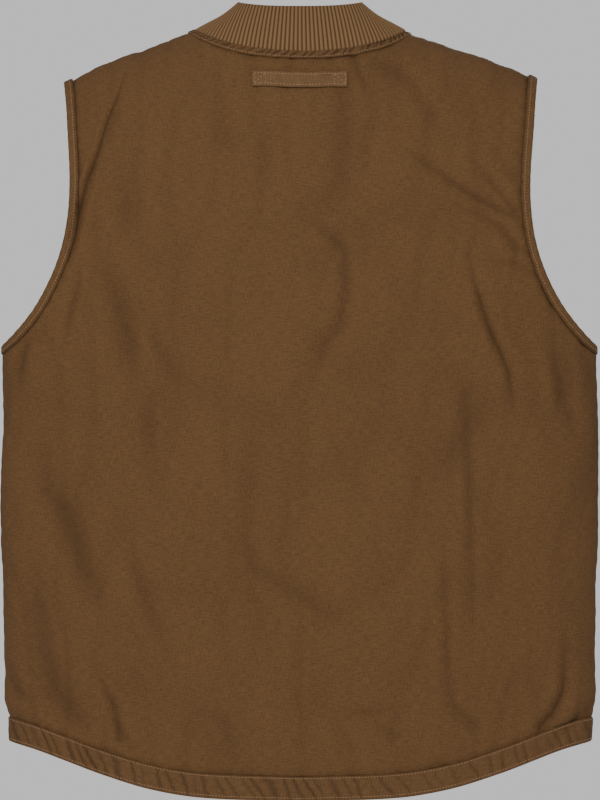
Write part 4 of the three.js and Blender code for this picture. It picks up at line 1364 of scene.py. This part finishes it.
class Binding(Strip):
    """The strip round one armhole, down the back's edge and up the front's."""

    THICK = 0.0046
    CORNER = 0.0022
    SINK = 0.0014
    RING = True
    LONG = 0.66
    COLUMNS = 560
    ROW_POINTS = 800
    ROW_PLACE = 0.16

    # The small waves along the strip: how many, and how high.
    WAVES = 61
    WAVE_HEIGHT = 0.0003

    def __init__(self, body, side):
        super().__init__(body, body.sizes.binding_width, self.LONG, self.COLUMNS)
        self.side = side
        self.shares = np.linspace(0, 1, SAMPLES + 1)
        self.even = {
            face.column: body.even(face, body.armhole_edge(face, side), SAMPLES)
            for face in (body.back, body.front)}

    def painted_darkness(self, u, across):
        """Painted shade, darker where the strip turns under, towards the body."""
        return 1.6 * smooth_step(2.5 * across / self.width - 0.4)

    def point(self, u, across, lift):
        u, across, lift = np.broadcast_arrays(u, across, lift)
        wave = np.sin(2 * math.pi * u * self.WAVES + 2 * wobble(u * 44, 3.0))
        lifted = -self.SINK + lift + np.sign(lift) * self.WAVE_HEIGHT * wave
        points = np.zeros((*u.shape, 3))
        back, front = self.body.back, self.body.front
        for face, mine, t in ((back, u <= 0.5, 2 * u), (front, u > 0.5, 2 - 2 * u)):
            at = np.interp(t[mine], self.shares, self.even[face.column])
            place = self.body.beside_armhole(face, self.side, at, self.width / 2 + across[mine])
            points[mine] = self.body.cloth(face, *place, lifted[mine])
        return points


class VEST_OT_bindings(bpy.types.Operator):
    """Adds the strip round each armhole, with its stitches."""

    bl_idname = "vest.bindings"
    bl_label = "Armhole bindings"

    def execute(self, context):
        body = Body(context.scene.vest_sizes)
        for side, name in ((1, "left"), (-1, "right")):
            binding = Binding(body, side)
            node, threads = f"armhole_binding_{name}", f"armhole_binding_{name}_stitches"
            piece = binding.build(f"{node}_cloth", node)
            u = np.linspace(0, 1, binding.ROW_POINTS)
            row = binding.run(u, binding.ROW_PLACE * binding.width)
            stitches(threads, [row])
        return {"FINISHED"}


class Hem(Strip):
    """One length of the gathered hem band, between two angles round a face."""

    CORNER = 0.0019
    SINK = 0.0016
    SECTION_POINTS = 44
    INNER_ASIDE = 0.05
    COLUMN = 0.0012

    # How far the rows of stitches lie from the upper edge and from the lower one.
    ROW_ABOVE = 0.0018
    ROW_BELOW = 0.0034

    # The gathers' height and pitch, and how soon their slant, pitch, line and height change.
    GATHER_HEIGHT = 0.0016
    GATHER_PITCH = 0.0135
    SLANT_CHANGE = 0.03
    PITCH_CHANGE = 0.021
    LINE_CHANGE_ACROSS = 0.0045
    LINE_CHANGE_ALONG = 0.012
    HEIGHT_CHANGE = 0.017

    def __init__(self, body, face, first, last, long):
        super().__init__(body, body.sizes.hem_height, long, round(long / self.COLUMN))
        self.face, self.first, self.last = face, first, last
        self.shares = np.linspace(0, 1, SAMPLES + 1)
        self.even = body.even(face, self.edge, SAMPLES)

    def edge(self, t):
        """The band's lower edge."""
        turn = self.first + (self.last - self.first) * np.asarray(t)
        return self.body.above_hem(self.face, turn, 0.0)

    def gather(self, u, across):
        """How far the cloth stands out in a gather, or sinks between two."""
        slant = 0.5 + 0.5 * wobble(u * self.long / self.SLANT_CHANGE, 8.0)
        run = u * self.long - across * slant
        phase = run / self.GATHER_PITCH + 0.5 * wobble(run / self.PITCH_CHANGE, 4.0)
        line = across / self.LINE_CHANGE_ACROSS + run / self.LINE_CHANGE_ALONG
        phase = phase + 0.1 * wobble(line, 9.0)
        tuck = np.abs(np.sin(math.pi * phase)) ** 0.7
        gathered = 0.5 + 0.5 * smooth_step((u - 0.3) / 0.25)
        uneven = np.maximum(0.8 + 0.9 * wobble(run / self.HEIGHT_CHANGE, 7.0), 0.15)
        strength = gathered * uneven
        return strength * (tuck - 0.75) * (1 - (2 * across / self.width) ** 4)

    def painted_darkness(self, u, across):
        # Painted shade in the hollows between the gathers.
        return np.clip(-4.4 * self.gather(u, across), 0, 1.3)

    def point(self, u, across, lift):
        u, across, lift = np.broadcast_arrays(u, across, lift)
        rise = self.GATHER_HEIGHT * self.gather(u, across)
        turn = self.first + (self.last - self.first) * np.interp(u, self.shares, self.even)
        place = self.body.above_hem(self.face, turn, self.width / 2 + across)
        lifted = -self.SINK + lift + np.where(lift > 0, rise, 0.5 * rise)
        return lapped(self.face, self.body.cloth(self.face, *place, lifted))


class VEST_OT_hem(bpy.types.Operator):
    """Adds the gathered hem band in three lengths, with its stitches."""

    bl_idname = "vest.hem"
    bl_label = "Hem"

    def execute(self, context):
        body = Body(context.scene.vest_sizes)
        edge = float(body.seen(body.front, body.ZIP_EDGE, -body.drop)[0])
        lengths = (
            ("hem_back", body.back, -QUARTER, QUARTER, 0.67),
            ("hem_front_left", body.front, edge, QUARTER, 0.33),
            ("hem_front_right", body.front, -QUARTER, -edge, 0.33),
        )
        for node, face, first, last, long in lengths:
            hem = Hem(body, face, first, last, long)
            piece = hem.build(f"{node}_cloth", node)
            u = np.linspace(*ROW_ENDS, 3 * hem.columns)
            rows = (hem.width / 2 - hem.ROW_ABOVE, -hem.width / 2 + hem.ROW_BELOW)
            threads = f"{node}_stitches"
            stitches(threads, [hem.run(u, across) for across in rows])
        return {"FINISHED"}


class HangerLoop(Strip):
    """The tab under the collar, sewn flat at both ends and slack between them."""

    THICK = 0.002
    CORNER = 0.0008
    SECTION_POINTS = 30
    INNER_ASIDE = 0.03
    THREAD_FOOT = 0.0
    FINISH = "loop webbing"
    SLOT = "loop"
    LONG = 0.096
    HEIGHT = 0.0154
    COLUMNS = 110
    BELOW_SEAM = 0.0227
    LIFT = 0.0023

    # How far the free middle stands out and sags, and how it starts from the sewn ends.
    SLACK = 0.006
    SAG = 0.0012
    SEWN_END = 0.012
    RAMP = 0.022

    # The rows of stitches: from the edges, along the tab, and the shares of its sewn boxes.
    ROW_INSIDE = 0.0026
    ROW_SHARES = (0.015, 0.985)
    ROW_POINTS = 160
    BOXES = ((0.02, 0.14), (0.98, 0.86))
    BOX_POINTS = 24

    def __init__(self, body):
        super().__init__(body, self.HEIGHT, self.LONG, self.COLUMNS)

    def point(self, u, across, lift):
        u, across, lift = np.broadcast_arrays(u, across, lift)
        x = (u - 0.5) * self.long
        free = smooth_step((self.long / 2 - np.abs(x) - self.SEWN_END) / self.RAMP)
        sag = self.SAG * free * (1 - (x / self.long * 2) ** 2)
        z = -self.body.sizes.back_neck_drop - self.BELOW_SEAM - self.width / 2 + across - sag
        place = self.body.seen(self.body.back, x, z)
        points = self.body.cloth(self.body.back, *place, self.LIFT + lift)
        points[..., 1] += self.SLACK * free * (0.65 + 0.7 * across / self.width)
        return points

    def rows(self):
        """Two long rows of stitches, and a box with one diagonal at each end."""
        half = self.width / 2 - self.ROW_INSIDE
        along = np.linspace(*self.ROW_SHARES, self.ROW_POINTS)
        across = np.linspace(-half, half, self.BOX_POINTS)
        rows = [self.run(along, edge) for edge in (half, -half)]
        for end, inner in self.BOXES:
            for u in (inner, end, np.linspace(end, inner, self.BOX_POINTS)):
                rows.append(self.run(u, across))
        return rows


class VEST_OT_hanger_loop(bpy.types.Operator):
    """Adds the tab under the collar that hangs the vest, with its stitches."""

    bl_idname = "vest.hanger_loop"
    bl_label = "Hanger loop"

    def execute(self, context):
        loop = HangerLoop(Body(context.scene.vest_sizes))
        piece = loop.build("hanger_loop_cloth", "hanger_loop")
        stitches("hanger_loop_stitches", loop.rows())
        flat = (loop.long + 0.01, loop.width)
        return {"FINISHED"}


class ZipTape(Strip):
    """The tapes of the closed zip, down the front's middle line."""

    THICK = 0.0018
    CORNER = 0.0006
    SECTION_POINTS = 22
    INNER_ASIDE = 0.03
    SLOT = "zip"
    WIDTH = 0.013
    COUNT = 500

    def __init__(self, body, collar):
        line = self.middle_line(body, collar)
        self.centre = point_at(line, spread(line, np.linspace(0, 1, self.COUNT)))
        self.way = unit(np.gradient(self.centre, axis=0))
        self.out = unit(np.stack([0 * self.way[:, 0], self.way[:, 2], -self.way[:, 1]], axis=-1))
        super().__init__(body, self.WIDTH, line_lengths(self.centre)[-1], self.COUNT - 1)

    def middle_line(self, body, collar):
        """The front's middle line from the collar's upper edge to the hem."""
        first = float(body.neck_edge(body.front, 1)(0.0)[1])
        last = float(body.above_hem(body.front, 0.0, 0.0)[1])
        seam = body.bare(body.front, 0.0, first)
        top = collar_top(np.array([2 * QUARTER]), collar)[0] * (0, 1, 1)
        share = np.linspace(0, 1, SAMPLES // 10)[:, None]
        still = np.zeros(SAMPLES)
        front = body.cloth(body.front, still, np.linspace(first, last, SAMPLES), still)
        return np.vstack([top * (1 - share) + seam * share, front[1:]])

    def point(self, u, across, lift):
        number = (u * self.columns).round().astype(int)
        points = self.centre[number] + (lift - self.SINK)[..., None] * self.out[number]
        points[..., 0] += across
        return points

    def flat_place(self, u, across, lift):
        return super().flat_place(u, across, lift)[::-1]


class VEST_OT_front_zip(bpy.types.Operator):
    """Adds the closed zip: its tapes, its teeth, and its slider with a pull."""

    bl_idname = "vest.front_zip"
    bl_label = "Front zip"

    TOOTH_PITCH = 0.0026
    TOOTH_SIZE = (0.0034, 0.0016, 0.0015)
    TOOTH_EDGE = 0.0003
    TOOTH_ASIDE = 0.0011
    TOOTH_SINK = 0.0003
    SLIDER_PLACE = 14

    # The slider's body, its bridge and its pull. Edge is how much their edges are rounded.
    SLIDER_PARTS = (
        SliderPart(size=(0.009, 0.0022, 0.012), place=(0, 0.0014, 0.0), edge=0.0009),
        SliderPart(size=(0.0032, 0.0024, 0.0075), place=(0, 0.0034, 0.0), edge=0.0008),
        SliderPart(size=(0.0062, 0.0016, 0.028), place=(0, 0.0040, -0.0165), edge=0.0006),
    )

    def execute(self, context):
        tape = ZipTape(Body(context.scene.vest_sizes), context.scene.vest_collar)
        piece = tape.build("front_zip_tape", "front_zip")
        metal = shared_finish("zip metal")
        teeth, slider = self.teeth(tape), self.slider(tape)
        place_piece("front_zip_teeth", teeth, metal, None)
        place_piece("front_zip_slider", slider, metal, None)
        teeth.shade_flat()
        return {"FINISHED"}

    def block(self, shape, size, edge, segments):
        """Adds a block with rounded edges and gives its vertices."""
        cube = bmesh.ops.create_cube(shape, size=1.0)["verts"]
        bmesh.ops.scale(shape, vec=size, verts=cube)
        edges = dict.fromkeys(line for corner in cube for line in corner.link_edges)
        rounded = bmesh.ops.bevel(
            shape, geom=list(edges), offset=edge, segments=segments, profile=0.5,
            affect="EDGES", material=-1)
        return list(dict.fromkeys(corner for face in rounded["faces"] for corner in face.verts))

    def teeth(self, tape):
        tooth = bmesh.new()
        self.block(tooth, self.TOOTH_SIZE, self.TOOTH_EDGE, 1)
        count = int(tape.long / self.TOOTH_PITCH * 2)
        turns = []
        for k, number in enumerate(spread(tape.centre, (np.arange(count) + 0.5) / count)):
            lines = (tape.centre, tape.out, tape.way)
            spot, up, along = (point_at(line, number) for line in lines)
            aside = self.TOOTH_ASIDE if k % 2 else -self.TOOTH_ASIDE
            spot = spot - self.TOOTH_SINK * up + np.array([aside, 0, 0])
            turns.append(turned_to(((1, 0, 0), up, along), spot))
        return copies_of("front_zip_teeth", tooth, turns)

    def slider(self, tape):
        parts = bmesh.new()
        for part in self.SLIDER_PARTS:
            block = self.block(parts, part.size, part.edge, 3)
            bmesh.ops.translate(parts, vec=part.place, verts=block)
        at = self.SLIDER_PLACE
        turned = turned_to(((1, 0, 0), tape.out[at], -tape.way[at]), tape.centre[at])
        bmesh.ops.transform(parts, matrix=turned, verts=parts.verts)
        bmesh.ops.recalc_face_normals(parts, faces=parts.faces)
        return mesh_of("front_zip_slider", parts)


class VEST_OT_seam_stitches(bpy.types.Operator):
    """Adds the rows of stitches beside the zip."""

    bl_idname = "vest.seam_stitches"
    bl_label = "Seam stitches"

    BESIDE_EDGE = 0.0065
    TOP = -0.0955
    ABOVE_HEM = 0.003
    LIFT = 0.0005

    def execute(self, context):
        body = Body(context.scene.vest_sizes)
        low = -body.drop + body.sizes.tail_drop + body.sizes.hem_height + self.ABOVE_HEM
        z = np.linspace(self.TOP, low, SAMPLES)
        runs = []
        for side in (1, -1):
            place = body.seen(body.front, side * (body.ZIP_EDGE + self.BESIDE_EDGE), z)
            top = body.cloth(body.front, *place, np.full(SAMPLES, self.LIFT))
            runs.append((top, body.normal(body.front, *place)))
        stitches("seam_stitches", runs)
        return {"FINISHED"}


class VEST_OT_stage(bpy.types.Operator):
    """Adds the floor, the lights, the pale surround and the camera."""

    bl_idname = "vest.stage"
    bl_label = "Stage"

    FLOOR_HALF = 3.0
    LIGHTS = {"key light": (0.4, 3.15, 0.8), "front key light": (-0.4, -3.15, 0.8)}
    LIGHT_SIZE = 1.2
    LIGHT_POWER = 112.0
    AIM_HEIGHT = -0.38
    SURROUND_STRENGTH = 0.7
    FARTHEST_SEEN = 50.0

    def execute(self, context):
        stage = context.scene.vest_stage
        floor = bmesh.new()
        bmesh.ops.create_grid(floor, x_segments=2, y_segments=2, size=self.FLOOR_HALF)
        bmesh.ops.translate(floor, vec=(0, 0, stage.floor_height), verts=floor.verts)
        mesh = mesh_of("studio_floor", floor)
        mesh.materials.append(shared_finish("studio paper"))
        paper = bpy.data.objects.new("studio_floor", mesh)
        context.scene.collection.objects.link(paper)
        for name, place in self.LIGHTS.items():
            self.light(context, name, place)
        self.surround(context)
        self.camera(context, stage)
        return {"FINISHED"}

    def light(self, context, name, place):
        lamp = bpy.data.lights.new(name, "AREA")
        lamp.shape = "DISK"
        lamp.size = self.LIGHT_SIZE
        lamp.energy = self.LIGHT_POWER
        holder = bpy.data.objects.new(name, lamp)
        holder.location = place
        aim = Vector((0, 0, self.AIM_HEIGHT)) - Vector(place)
        holder.rotation_euler = aim.to_track_quat("-Z", "Y").to_euler()
        context.scene.collection.objects.link(holder)

    def surround(self, context):
        world = bpy.data.worlds.new("pale surround")
        world.use_nodes = True
        background = world.node_tree.nodes["Background"]
        background.inputs["Color"].default_value = (1.0, 1.0, 1.0, 1.0)
        background.inputs["Strength"].default_value = self.SURROUND_STRENGTH
        context.scene.world = world

    def camera(self, context, stage):
        eye = bpy.data.cameras.new("photo camera")
        eye.lens = stage.lens
        eye.clip_end = self.FARTHEST_SEEN
        holder = bpy.data.objects.new("photo camera", eye)
        holder.location = (stage.camera_aside, stage.camera_distance, stage.camera_height)
        holder.rotation_euler = (QUARTER, 0.0, 2 * QUARTER)
        context.scene.collection.objects.link(holder)
        context.scene.camera = holder


class VEST_PT_panel(bpy.types.Panel):
    """Lists the vest's sizes, its colours and the steps that build it."""

    bl_idname = "VEST_PT_panel"
    bl_label = "Work vest"
    bl_space_type = "VIEW_3D"
    bl_region_type = "UI"
    bl_category = "Vest"

    def draw(self, context):
        scene = context.scene
        for group in (scene.vest_sizes, scene.vest_collar, scene.vest_colours, scene.vest_stage):
            box = self.layout.box()
            for name in group.bl_rna.properties.keys():
                if name not in ("rna_type", "name"):
                    box.prop(group, name)
        for operator in OPERATORS:
            self.layout.operator(operator.bl_idname)


GROUPS = {
    "vest_sizes": VestSizes,
    "vest_collar": CollarSizes,
    "vest_colours": VestColours,
    "vest_stage": StageSizes,
}
OPERATORS = (
    VEST_OT_back_panel,
    VEST_OT_front_panels,
    VEST_OT_collar,
    VEST_OT_neck_band,
    VEST_OT_bindings,
    VEST_OT_hem,
    VEST_OT_hanger_loop,
    VEST_OT_front_zip,
    VEST_OT_seam_stitches,
    VEST_OT_stage,
)


def register():
    for kind in (*GROUPS.values(), *OPERATORS, VEST_PT_panel):
        bpy.utils.register_class(kind)
    for name, kind in GROUPS.items():
        setattr(bpy.types.Scene, name, PointerProperty(type=kind))


def unregister():
    for name in GROUPS:
        delattr(bpy.types.Scene, name)
    for kind in (VEST_PT_panel, *reversed(OPERATORS), *reversed(GROUPS.values())):
        bpy.utils.unregister_class(kind)


def main():
    register()
    for operator in OPERATORS:
        group, name = operator.bl_idname.split(".")
        getattr(getattr(bpy.ops, group), name)()


if __name__ == "__main__":
    main()
